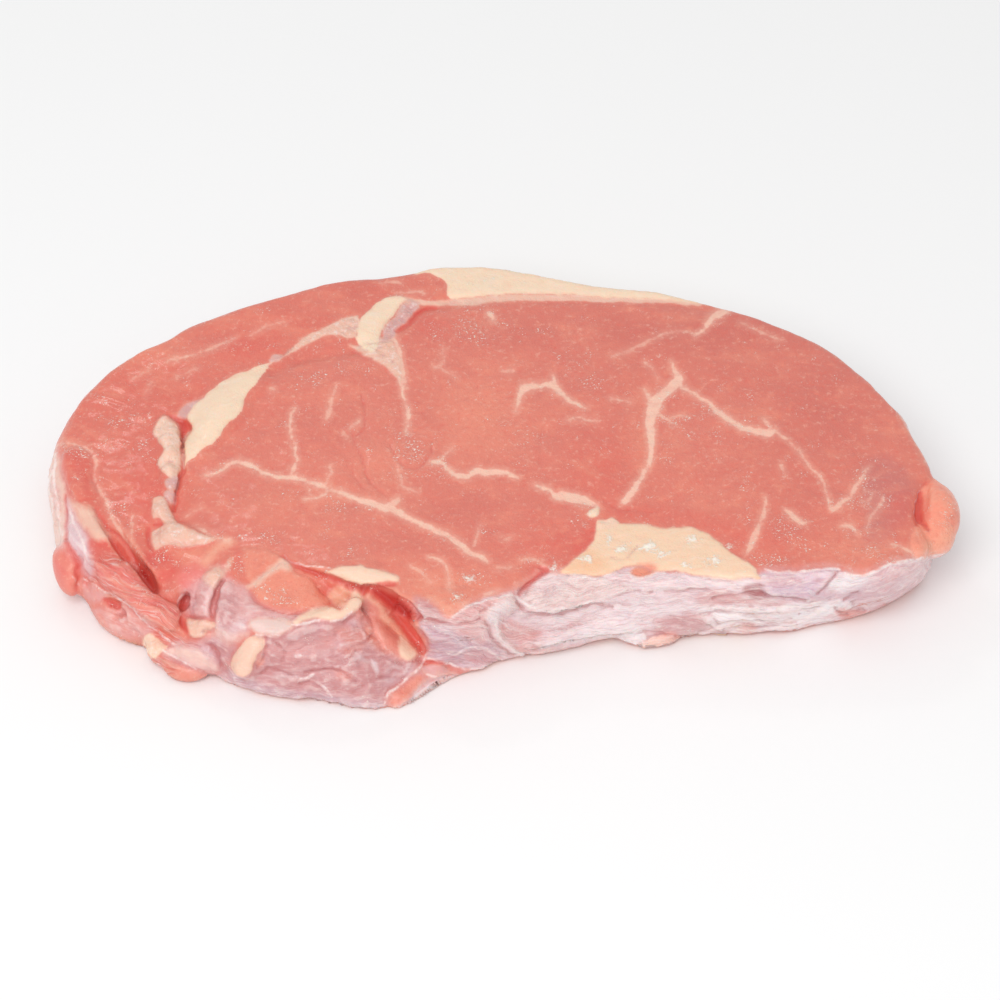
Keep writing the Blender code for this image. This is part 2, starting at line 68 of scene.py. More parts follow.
# The stage, in metres
FLOOR_SIZE = 6.0
LAMPS = {"key": ((-0.20, -0.55, 0.75), 0.6), "spark": ((-0.28, 0.55, 0.68), 0.1)}       # place and width

# Parts of the solid
CUT_FACE_HEIGHT = 19.6      # of the upper cut face, whose pattern the lower one repeats
BACK_CAP = (-20.0, 52.0, 20.0)      # the fat cover down the back: its two ends along x, and the least y
END_FOOT = (80.0, 9.0)      # the foot of the right end: further out than this, and lower, it is skin

# How far a surface has to turn before it counts and counts in full, as the part of its normal that points
# towards the camera, the same on evened normals, downwards, upwards, and upwards for the end of the walls
FACING_TURN = (0.02, 0.22)
VISIBLE_TURN = (-0.08, 0.06)
UNDERSIDE_TURN = (0.55, 0.9)
TOPSIDE_TURN = (0.45, 0.85)
WALL_TURN = (0.45, 0.75)

# Shares from which a point takes the fat and the veins that are drawn, or else the lines, the torn flesh and
# the fibres, counts as facing down or as a wall, as turned away, and as having fat
SHOWN = 0.4
BEHIND = 0.3
MOSTLY = 0.5
TURNED_AWAY = 0.1
NO_FAT = 0.05
SEAM_EDGE = (0.08, 0.28)    # how far a share is from BEHIND where the fibres fade out and in again
SEAM_DIP = 0.4              # how far below 0 they fade there
HIDDEN_EDGE = (0.1, 0.9)    # bumps from which a tint of the hidden walls starts and is full

# Where something starts and where it is full, in pixels inside its outline or line
AREA_EDGE = (-3.0, 6.0)
LUMPY_EDGE = (-2.0, 6.0)
FIBROUS_EDGE = (-4.0, 4.0)
KNOBBLY_EDGE = (-1.0, 4.0)
EVENED_EDGE = (0.0, 5.0)
LINE_EDGE = (-2.5, 2.0)
SHADE_EDGE = (-2.5, 1.2)
VEIN_EDGE = (-1.5, 1.5)
BACK_CAP_EDGE = (-6.0, 12.0)
AREA_REACH = 24.0           # pixels outside an outline up to which its distance is worked out
LINE_REACH = 16.0           # the same for a line
AWAY = -AREA_REACH          # stands for anywhere further out
PLAIN_MARGIN = 5.0          # pixels from everything drawn, from which the mesh may be thinned
UNDER_FAT = -8.0            # pixels inside a patch from which points that have no fat yet take its tint
BACK_SKIN = (14.0, -7.0)    # depth of the skin at the back: how much more on a full wall, and on no wall
BACK_FAT_OVER_SKIN = 2.0    # how much deeper than that the fat at the back may be
VEIN_DIP = 0.06             # how deep the marbling lies
STAIN_GAIN = 1.4            # how much stronger a stain is than its number, up to full
HIDDEN_SHARE = 0.7          # strength of the tints on the walls that the photograph doesn't show
TINY_RUN = 1e-9             # square pixels below which a line between two points counts as a point

# Evening of positions and normals: the share of the way in each round, and rounds
EVEN_SHARE = 0.5
SMOOTH_ROUNDS = 6           # for the solid's fine mesh
VISIBLE_ROUNDS = 12         # for the normals that tell what the camera sees
RISE_ROUNDS = 4             # for the normals along which the relief is raised
HOLLOWS = {"hollow": 8, "wide_hollow": 50}      # for the skin that hollows are measured against
WELD_REACH = 0.001

# Random relief: wavelengths along x, y and z, and a seed. Names with fibres, wrinkles or furrows run
# along the fibres, and their first two wavelengths are pixels along and across them.
SEED_STEP = 7.31
WAVES = {
    "drift_across": (6.0, 6.0, 6.0, 5), "drift_down": (6.0, 6.0, 6.0, 6),
    "jitter_across": (1.7, 1.7, 1.7, 7), "jitter_down": (1.7, 1.7, 1.7, 8),
    "lie_drift": (7.0, 7.0, 7.0, 17),
    "long_wrinkles": (26.0, 9.0, 1.0, 9), "short_wrinkles": (14.0, 3.6, 1.0, 10),
    "long_furrows": (30.0, 5.0, 1.0, 12), "short_furrows": (14.0, 3.0, 1.0, 13),
    "lumps": (2.8, 2.8, 2.4, 18), "small_lumps": (1.3, 1.3, 1.3, 19),
    "torn_fibres": (30.0, 2.8, 1.0, 14), "cut_fibres": (22.0, 6.0, 1.0, 11),
    "knobs": (1.7, 1.7, 1.7, 15), "small_knobs": (0.9, 0.9, 0.9, 16),
    "wall_waves": (9.0, 9.0, 6.0, 1), "back_ripples": (11.0, 11.0, 1.7, 2), "back_lumps": (7.0, 7.0, 3.4, 20),
    "cut_waves": (8.0, 7.0, 8.0, 3), "small_cut_waves": (2.6, 2.2, 2.6, 4),
    "cap_edge": (9.0, 9.0, 3.0, 21), "small_cap_edge": (3.0, 3.0, 1.2, 22),
    "rosy_skin": (12.0, 12.0, 4.8, 23), "peach_fat": (9.0, 9.0, 3.6, 24), "white_skin": (14.0, 14.0, 5.6, 25),
    "fleshy_skin": (7.0, 7.0, 2.8, 26), "violet_skin": (16.0, 16.0, 6.4, 27),
}
HIDDEN_TINTS = ("rosy_skin", "peach_fat", "white_skin", "fleshy_skin", "violet_skin")
DRIFT, JITTER = 1.6, 1.3    # pixels by which the waves of those names move what the photograph shows
LIE_DRIFT = 7.0             # pixels by which the fibres wander
FURROW_DEPTH = 0.7          # of the furrows in the silverskin, against its wrinkles
WALL_LEVEL = 0.5            # how much of the cut faces' unevenness the walls have

# ---------------------------------------------------------------------------------------------
# What the photograph shows, by pixel
# ---------------------------------------------------------------------------------------------
# Outlines and lines are texts of points: "x,y" for an outline and "x,y,half width" for a line.

# Patches of fat, tendon and thick skin: (tint, softness of the edge in mm, strength, rise in mm, rim in
# pixels, outline); a later one lies over an earlier one
PATCHES = {
    "cap_line": ("tendon", 0.35, 0.8, 0.0, 3, "400,297 420,299 446,300 502,295 553,294 660,299 702,301 "
        "700,305 660,304 553,301 502,302 465,306 420,305 402,302"),
    "fat_cap": ("ivory_fat", 0.25, 1.0, 0.1, 4, "437,258 470,258 520,262 600,279 660,285 712,296 702,302 "
        "660,300 553,294 521,294 467,298 449,299 446,283 438,277 428,272 414,274 416,264"),
    "lens_rim": ("grey_tendon", 0.5, 0.75, 0.0, 3, "177,417 180,410 187,403 198,399 204,396 198,404 "
        "191,411 187,420"),
    "fat_lens": ("ivory_fat", 0.2, 1.0, 0.2, 4, "268,366 262,364 248,371 240,373 225,381 200,400 190,411 "
        "188,418 192,428 184,437 182,447 184,468 190,460 204,446 216,440 228,425 240,413 245,398 255,385"),
    "seam_fat": ("tendon", 0.4, 0.85, 0.1, 2, "268,366 270,362 282,356 302,339 312,332 324,328 335,321 "
        "347,316 359,316 357,335 349,339 335,336 322,337 290,354"),
    "seam_bead": ("grey_tendon", 0.3, 0.9, 0.2, 3, "268,361 273,356 280,355 282,358 276,363"),
    "junction_mass": ("tendon", 0.6, 0.8, 0.15, 4, "349,345 357,352 378,362 397,380 402,384 403,376 "
        "401,362 397,350 392,341 380,337 368,343 358,345"),
    "junction_fat": ("ivory_fat", 0.3, 1.0, 0.3, 4, "359,322 370,308 383,299 399,297 407,300 399,308 "
        "383,330 378,348 370,352 360,346 357,335"),
    "tendon_band": ("grey_tendon", 0.5, 0.8, 0.2, 3, "406,301 419,303 416,311 408,322 399,329 392,340 "
        "383,342 384,328 394,316"),
    "lumps": ("pale_tendon", 0.35, 0.95, 0.9, 8, "158,419 167,416 176,422 181,434 181,463 178,474 170,477 "
        "158,466 159,457 164,450 158,441 153,432"),
    "lump_third": ("grey_tendon", 0.4, 0.9, 0.5, 5, "165,479 178,476 178,488 172,491 166,488"),
    "lump_fourth": ("grey_tendon", 0.4, 0.9, 0.5, 5, "163,494 170,490 176,493 174,504"),
    "star_fat": ("tendon", 0.4, 0.95, 0.7, 7, "152,500 160,496 167,500 176,522 190,529 205,535 217,540 "
        "192,547 176,546 164,546 158,550 153,549 151,540 153,532 162,525 160,518 152,517"),
    "front_fat": ("butter_fat", 0.6, 1.0, 0.5, 9, "597,524 606,525 640,523 655,526 666,529 694,528 720,543 "
        "735,555 751,565 759,574 761,580 745,577 722,577 672,572 656,571 640,566 622,568 605,575 585,576 "
        "562,573 560,571 573,561 586,550 595,538"),
    "front_fat_warm": ("amber_fat", 1.8, 0.6, 0.0, 4, "560,572 574,560 588,549 600,556 608,568 592,577 "
        "575,576"),
    "front_fat_lip": ("ivory_fat", 0.8, 0.7, 0.15, 4, "694,572 710,571 730,574 745,574 760,578 740,579 "
        "718,579 700,576"),
    "red_spot": ("salmon_lean", 0.9, 0.95, -0.2, 4, "630,572 637,566 646,563 655,565 656,571 649,575 "
        "637,577"),
    "front_flake": ("pale_fat", 0.35, 0.95, 0.35, 3, "597,521 605,520 612,517 620,524 612,528 600,529"),
    "lean_flake": ("ivory_fat", 0.4, 0.9, 0.35, 3, "588,512 598,506 599,514 595,518 590,517"),
    "crevice_sliver": ("pale_fat", 0.6, 1.0, 0.5, 6, "326,573 333,569 342,566 352,566 361,565 368,568 "
        "376,570 384,571 392,574 398,576 398,581 388,581 374,584 364,585 354,583 345,581 336,577"),
    "lip_knob": ("peach_fat", 1.6, 0.75, 0.4, 6, "327,597 331,590 338,587 343,584 349,587 352,591 350,600 "
        "344,609 336,606"),
    "lobe_lip": ("pale_fat", 0.9, 0.95, 0.5, 6, "291,622 297,626 304,621 313,618 322,620 333,621 342,619 "
        "352,613 359,607 363,600 362,595 358,590 352,591 349,598 345,606 340,611 334,607 325,606 313,608 "
        "304,612 296,618"),
    "lobe_seam": ("tendon", 1.2, 0.85, 0.3, 4, "246,590 252,580 274,564 283,558 290,561 293,568 289,572 "
        "279,570 267,577 257,586"),
    "drape": ("pale_skin", 1.1, 0.9, 0.4, 7, "250,621 262,618 275,619 286,618 293,627 280,635 268,636 "
        "257,634 252,629"),
    "tag": ("pale_tendon", 0.3, 1.0, 0.6, 7, "241,645 249,638 258,636 264,639 264,648 257,655 253,664 "
        "251,672 244,676 236,673 231,666 233,654"),
    "cream_spot": ("pale_fat", 0.9, 0.9, 0.15, 4, "400,635 414,649 417,655 410,660 402,658 399,648"),
    "cream_bump": ("pale_fat", 0.5, 0.9, 0.4, 6, "142,640 147,634 155,636 164,643 168,646 156,657 148,654"),
    "flap_fat": ("tendon", 1.6, 0.75, 0.3, 6, "70,500 80,504 92,507 98,515 104,526 110,537 104,541 95,540 "
        "80,524 74,512"),
    "tendon_scrap": ("tendon", 0.5, 0.95, 0.7, 5, "186,622 191,619 208,621 215,623 215,628 208,632 203,637 "
        "195,637 189,631"),
    "pocket_tip": ("tendon", 1.3, 0.8, 0.2, 4, "202,576 217,566 223,568 230,559 233,562 226,572 219,583 "
        "211,588"),
    "under_rim": ("peach_fat", 0.7, 0.7, 0.3, 4, "95,620 101,626 111,634 124,640 142,643 141,649 122,648 "
        "106,640 94,630"),
    "membrane_lobe": ("peach_skin", 1.4, 0.55, 0.4, 6, "165,650 176,645 190,647 205,652 220,670 206,671 "
        "195,668 180,660 168,655"),
    "band": ("white_skin", 1.6, 0.5, 0.25, 6, "493,602 505,598 514,598 518,606 511,612 502,619 500,627 "
        "504,635 521,651 528,658 518,660 506,650 488,629 484,617 487,608"),
    "base_flake": ("rosy_skin", 0.8, 0.9, 0.3, 4, "421,667 430,665 448,668 449,673 441,675 434,677 "
        "426,674"),
}
# Patches of the cut face, which the lower cut face repeats
CUT_PATCHES = ("fat_cap", "cap_line", "fat_lens", "junction_fat", "junction_mass", "tendon_band", "seam_fat")
# Patches with a knobbly, threaded surface
KNOBBLY = ("lumps", "lump_third", "lump_fourth", "star_fat", "cream_bump", "junction_mass",
           "seam_fat", "tendon_band", "seam_bead", "tendon_scrap", "pocket_tip")

# Washes of colour over flesh and skin alike: (tint, strength, softness of the edge in pixels, outline)
WASHES = {
    "rim_strands": ("peach_skin", 1.0, 3, "38,440 56,452 60,466 66,498 67,520 66,540 56,546 38,540"),
    "rim_rosy": ("rosy_skin", 0.45, 4, "52,484 60,490 62,505 58,515 52,504"),
    "corner": ("red_lean", 0.45, 6, "64,452 78,447 90,455 93,466 91,478 97,494 88,500 76,500 62,470"),
    "lilac_strip": ("skin", 0.9, 3, "67,499 73,508 77,520 88,541 90,554 93,568 90,578 83,570 78,558 66,538 "
        "66,516"),
    "flap_red": ("red_lean", 0.75, 4, "88,541 96,540 106,537 114,542 124,550 130,560 120,566 108,566 "
        "96,562 90,552"),
    "flap_pink": ("pink_lean", 0.85, 4, "96,562 110,566 124,562 134,566 141,578 150,588 165,600 178,606 "
        "180,618 172,630 150,620 112,592 98,580"),
    "flap_orange": ("rosy_skin", 0.8, 4, "80,580 92,584 106,590 104,600 94,602 84,594"),
    "nodule": ("pink_lean", 0.6, 2, "66,540 60,546 50,560 52,576 60,592 72,600 79,600 76,585 80,570 80,560 "
        "75,550"),
    "nodule_shade": ("red_lean", 0.6, 3, "74,556 80,560 79,567 72,568 70,562"),
    "under_lilac": ("fleshy_skin", 0.7, 5, "104,612 118,608 132,612 146,622 152,628 143,633 133,637 "
        "120,633 108,624"),
    "under_peach": ("fleshy_skin", 0.8, 3, "92,614 102,613 108,625 120,634 134,638 143,635 142,645 124,645 "
        "106,638 90,626"),
    "pocket_pink": ("pink_lean", 0.8, 5, "178,575 190,562 205,556 215,560 205,575 196,590 184,592"),
    "pocket_grey": ("rosy_skin", 0.85, 5, "186,594 198,580 214,580 218,590 212,606 206,615 192,614 "
        "188,606"),
    "peach_band": ("peach_fat", 0.75, 4, "226,538 236,541 224,555 213,564 203,567 200,560 212,550"),
    "gloss_red": ("red_lean", 1.0, 6, "146,556 165,550 182,556 178,570 168,580 160,590 152,584"),
    "gloss_red_right": ("red_lean", 0.55, 5, "212,560 225,548 240,549 244,562 240,580 230,578 218,576"),
    "shoulder": ("salmon_lean", 0.7, 6, "244,552 262,548 280,556 284,562 270,568 258,576 250,584 244,575"),
    "lobe_top": ("salmon_lean", 0.95, 3, "252,592 256,584 264,576 276,569 286,566 297,573 308,577 315,583 "
        "319,591 330,602 322,608 290,614 272,610 258,602"),
    "lobe_top_foot": ("rosy_skin", 0.6, 6, "250,596 258,602 272,607 290,611 308,611 322,607 316,616 "
        "292,620 266,616 248,606"),
    "lobe_top_red": ("red_lean", 0.2, 4, "256,599 272,603 290,606 304,609 296,613 280,613 264,608"),
    "lobe_lilac": ("rosy_skin", 0.95, 6, "224,582 232,584 245,592 258,604 272,611 290,615 300,616 285,621 "
        "262,620 240,618 226,625 220,618 218,600"),
    "lobe_dull": ("mauve_skin", 0.75, 5, "222,588 232,592 237,606 234,622 224,630 218,610"),
    "lobe_foot": ("peach_skin", 0.5, 4, "206,625 218,628 232,632 248,632 250,637 240,641 222,641 210,636"),
    # painted shade: red laid into the hollow between the knob and the top of the lobe
    "pocket_shade": ("red_lean", 0.5, 4, "314,580 326,577 340,582 362,587 380,587 370,592 350,589 340,586 "
        "332,590 328,598 320,592"),
    "face": ("mauve_skin", 0.95, 6, "268,638 300,626 340,622 372,636 398,657 412,662 400,680 384,694 "
        "380,712 320,700 262,690 236,674 256,664"),
    "face_upper": ("fleshy_skin", 0.55, 6, "322,628 345,626 362,634 364,648 350,654 334,648 322,640"),
    "face_tan": ("rosy_skin", 0.5, 6, "262,648 290,640 320,640 344,644 320,654 285,660"),
    "face_low": ("lilac_skin", 0.7, 6, "300,692 330,694 360,700 386,706 384,718 340,714 262,696 240,686 "
        "226,672 250,680"),
    "tag_brown": ("nub_flesh", 0.6, 2, "256,660 262,656 264,662 258,666"),
    "face_salmon": ("salmon_lean", 0.75, 6, "358,602 366,600 374,612 382,626 390,642 384,652 370,642 "
        "360,628 352,614"),
    "ridge": ("fleshy_skin", 0.95, 5, "362,596 368,593 374,598 383,604 388,614 396,622 411,641 418,651 "
        "415,660 404,661 392,655 381,645 369,618 362,608"),
    "ridge_crest": ("peach_fat", 0.8, 2, "366,594 374,599 383,605 387,614 395,622 403,632 412,646 404,644 "
        "392,628 382,622 378,608 368,600"),
    "crevice_wall": ("red_lean", 0.8, 4, "392,616 400,611 411,617 422,636 421,651 416,650 408,638 399,627"),
    "block_edge": ("salmon_lean", 0.9, 2, "416,621 422,629 428,635 430,646 427,656 421,656 423,646 420,636 "
        "415,629"),
    "left_foot": ("mauve_skin", 1.0, 5, "206,640 222,642 238,646 232,660 228,674 220,672 214,660 208,650"),
    "low_streaks": ("rosy_skin", 0.6, 4, "138,650 150,657 162,659 168,670 164,678 150,668"),
    "salmon_bump": ("fleshy_skin", 0.9, 3, "162,659 174,663 187,669 200,673 208,675 195,684 182,688 "
        "168,682 164,672"),
    "base_flap": ("rosy_skin", 0.95, 4, "424,664 440,672 460,674 500,668 478,682 444,690 424,694 404,714 "
        "384,724 385,710 388,694 403,682 416,673"),
    "base_flap_middle": ("salmon_lean", 0.8, 5, "418,676 424,684 412,694 404,704 392,706 390,694 402,684"),
    "base_flap_edge": ("white_skin", 0.9, 5, "452,674 436,678 424,683 416,692 408,700 398,706 386,711 "
        "400,730 440,712 462,688"),
    # painted shadow: dark red just above the base flake
    "base_flake_shadow": ("red_lean", 0.5, 3, "422,665 430,661 440,662 446,665 438,667 428,667"),
    # peach along the rounded rim of the wall, partly the lip's own colour and partly painted highlight
    "rim_lip_highlight": ("peach_fat", 0.6, 3, "426,597 437,608 449,617 459,612 471,605 466,600 455,603 446,603 "
        "438,597"),
    "rim_rose": ("rosy_skin", 0.9, 3, "419,604 430,606 441,616 450,619 460,614 472,606 490,600 514,590 "
        "520,592 508,599 492,607 484,614 470,620 450,621 424,620"),
    "rim_left": ("mauve_skin", 0.9, 4, "412,598 422,598 432,603 440,611 447,618 442,625 424,623 415,612"),
    # painted light: white laid along the foot of the wall, where it turns under towards the floor and falls
    # into shade
    "foot_painted_light": ("white_skin", 1.0, 5, "514,664 530,652 550,643 580,636 610,632 640,628 645,652 600,656 "
        "560,666 524,676"),
    "block": ("lilac_skin", 0.95, 6, "420,626 440,627 455,632 470,640 490,645 500,655 490,666 470,668 "
        "450,663 428,658 427,640"),
    "block_rose": ("rosy_skin", 0.7, 5, "453,618 482,611 485,622 492,636 482,645 468,637 455,628"),
    "block_low": ("rosy_skin", 0.5, 4, "462,655 480,648 500,658 490,665 470,664"),
    "window_upper": ("rosy_skin", 0.95, 4, "497,629 502,622 510,620 522,625 536,629 542,634 532,641 "
        "520,642 508,638"),
    "window_lower": ("rosy_skin", 0.8, 3, "514,647 524,642 540,644 534,651 522,654"),
    "drape_upper": ("beige_skin", 0.9, 6, "522,601 529,589 539,578 550,572 575,576 600,577 618,584 628,590 "
        "600,598 570,607 545,610"),
    "face_gleam": ("white_skin", 0.55, 2, "370,660 376,662 379,668 377,673"),
    "face_gleam_left": ("white_skin", 0.4, 3, "355,651 362,655 368,662 362,662 355,657"),
    "face_brown": ("fleshy_skin", 0.5, 3, "336,668 346,672 352,678 346,682 338,676"),
    "wall_pale": ("white_skin", 0.35, 10, "556,613 600,603 635,591 660,592 684,596 694,608 662,616 645,634 "
        "600,642 560,636 535,622"),
    "foot_salmon": ("fleshy_skin", 0.5, 4, "528,657 545,648 575,645 604,640 600,650 565,657 540,665"),
    "wall_mauve": ("mauve_skin", 0.75, 5, "654,622 668,617 686,614 703,613 709,620 704,628 688,635 "
        "664,633"),
    "base_bump": ("peach_fat", 0.85, 3, "636,648 650,638 664,634 676,635 688,641 678,650 660,654"),
    "base_bump_dark": ("red_lean", 0.55, 2, "662,635 672,632 680,637 672,638"),
    "shelf_rose": ("rosy_skin", 0.7, 5, "697,598 712,590 728,591 745,597 762,600 790,602 770,607 735,606 "
        "705,606"),
    "fold_white": ("white_skin", 0.4, 4, "636,582 662,574 700,574 722,577 746,578 748,586 725,590 705,587 "
        "684,590 655,592 636,592"),
    "dark_rose": ("crease", 0.8, 4, "744,588 756,586 766,590 768,597 752,598"),
    "lilac_sheet": ("violet_skin", 0.9, 5, "762,574 790,574 815,572 836,571 828,582 817,594 800,599 "
        "780,597 766,592"),
    "sheet_rose": ("rosy_skin", 0.45, 5, "763,574 790,575 802,580 780,587 766,584"),
    "shelf_white": ("white_skin", 1.0, 4, "700,608 725,606 760,607 800,605 840,599 852,606 832,618 800,626 "
        "760,630 725,630 704,620"),
    "foot_brown": ("fleshy_skin", 0.6, 3, "738,627 748,622 758,628 752,634 742,633"),
    "foot_brown_right": ("fleshy_skin", 0.7, 2, "800,629 808,624 816,629 808,632"),
    "right_white": ("white_skin", 0.9, 5, "830,580 846,574 862,577 872,577 860,586 842,592 828,590"),
    "right_rose": ("rosy_skin", 0.12, 6, "872,578 890,568 915,560 945,555 930,578 905,598 875,604 855,604"),
    "right_foot": ("fleshy_skin", 0.8, 3, "836,612 846,609 872,612 884,604 888,610 870,621 850,623"),
    "end_mauve": ("mauve_lean", 0.7, 8, "862,470 885,455 912,478 912,505 900,530 878,545 862,540 868,515"),
    "end_red": ("red_lean", 0.35, 6, "890,500 912,490 918,505 916,530 908,548 890,545"),
    "nub": ("nub_flesh", 1.0, 2, "921,490 928,484 937,478 948,480 955,492 964,500 964,515 958,535 955,552 "
        "935,557 917,557 911,543 914,530 919,522 917,512"),
    "nub_deep": ("red_lean", 0.45, 5, "918,495 926,500 930,512 926,524 919,520 917,508"),
    "nub_low": ("peach_fat", 0.45, 5, "925,545 940,535 952,525 954,545 940,556 922,556"),
    "front_red": ("red_lean", 0.5, 5, "572,548 585,530 597,516 598,530 594,542 580,556"),
    "nick_red": ("red_lean", 0.5, 4, "524,580 534,568 548,566 549,572 536,580 522,590"),
    "behind_fat": ("red_lean", 0.3, 8, "600,505 650,506 700,514 742,530 745,546 715,534 690,526 650,521 "
        "615,516"),
    "low_lean": ("orange_lean", 0.5, 10, "415,590 440,582 480,585 515,578 500,592 470,602 448,612 430,600"),
}
# Rounded forms, by the name of their wash: (rise in mm, rim in pixels)
LIFTS = {
    "ridge": (0.9, 9), "base_flap_edge": (-0.9, 8), "foot_painted_light": (0.5, 10), "lobe_top": (0.9, 16),
    "corner": (0.7, 14), "flap_pink": (0.7, 12), "shoulder": (0.5, 12), "nodule": (0.8, 10),
    "salmon_bump": (0.6, 8), "drape_upper": (0.6, 12), "base_bump": (0.8, 7), "block": (0.5, 14),
    "face": (0.6, 20), "nub": (0.5, 10), "lilac_sheet": (0.4, 8), "wall_mauve": (0.4, 8),
    "shelf_white": (0.5, 8), "right_rose": (0.4, 10), "lobe_lilac": (0.4, 10),
}

# Areas of silverskin
SKIN_AREAS = {
    "front_wall": "417,604 424,603 431,605 443,616 449,617 455,613 471,604 492,596 503,594 520,588 537,576 "
        "546,571 554,574 570,573 590,575 606,575 620,568 640,567 655,571 671,573 722,577 745,577 769,571 "
        "790,572 828,568 853,573 864,575 875,571 886,565 916,558 931,556 950,551 985,548 985,660 640,700 "
        "470,690 500,667 482,669 460,668 432,660 426,656 427,640 419,624",
    "lobe_face": "265,637 281,634 292,628 302,622 337,621 350,616 362,602 369,612 377,626 380,642 399,655 "
        "413,659 424,657 415,673 401,684 388,694 385,712 384,735 300,725 200,705 205,682 222,671 232,668 "
        "244,677 252,674 255,661 263,652",
    "face_foot": "226,672 240,678 262,684 350,696 384,704 384,735 300,725 200,705",
    "lobe_left": "222,578 232,586 244,592 256,604 272,613 292,616 318,612 304,619 294,624 272,622 252,620 "
        "250,631 236,640 226,642 214,636 216,618 212,606",
    "pocket": "184,592 196,578 210,572 222,568 224,574 213,606 210,616 193,616 187,607",
    "bottom_left": "166,650 177,643 190,645 206,640 217,634 230,645 236,650 228,660 222,672 206,674 "
        "174,661",
    "under_flap": "96,612 106,611 118,609 130,611 145,622 152,629 143,635 130,637 116,632 103,624",
    "left_rim": "36,430 52,448 57,456 63,488 67,500 88,540 91,560 92,576 84,572 77,560 68,546 58,548 "
        "36,540",
}
# Areas of it whose fibres show clearly, and areas of it that lie in lumps
FIBROUS = ("front_wall", "face_foot")
LUMPY = ("lobe_face", "lobe_left", "pocket", "bottom_left", "under_flap")

# Torn flesh, whose fibres show
TORN_FLESH = {
    "flap": "88,545 96,552 108,552 122,556 136,566 142,578 152,590 168,600 182,612 178,632 200,642 205,652 "
        "170,646 140,624 110,600 96,586 84,580 86,560",
    "lower_left": "136,648 150,655 164,656 180,664 170,680 150,672 138,660",
}
# Where the solid's own edges are evened out: (share of each round, rounds, outline)
EVENED = {
    "lens": (0.9, 160, "270,358 255,360 218,379 198,396 186,412 184,430 182,470 192,468 210,450 226,440 "
        "236,428 250,412 256,396 268,380 276,366"),
    "flap_crevice": (0.9, 150, "90,498 100,500 116,522 132,546 146,564 148,574 138,572 122,556 106,534 "
        "92,512"),
    "nub": (0.5, 30, "900,478 918,478 930,492 930,530 920,556 904,556 902,520"),
    "notch": (0.95, 150, "359,603 364,596 373,600 383,612 384,630 370,636 358,622"),
    "ridge": (0.9, 70, "361,600 366,588 376,584 400,598 416,614 428,640 424,660 402,668 380,656 366,640 "
        "358,616"),
    "base_tip": (0.7, 40, "378,700 392,694 410,700 412,716 398,724 376,722"),
    "lobe_step": (0.6, 30, "300,572 330,578 352,586 356,600 336,612 314,600"),
    "nick": (0.5, 30, "512,600 514,586 530,570 548,562 556,572 552,592 530,606"),
}

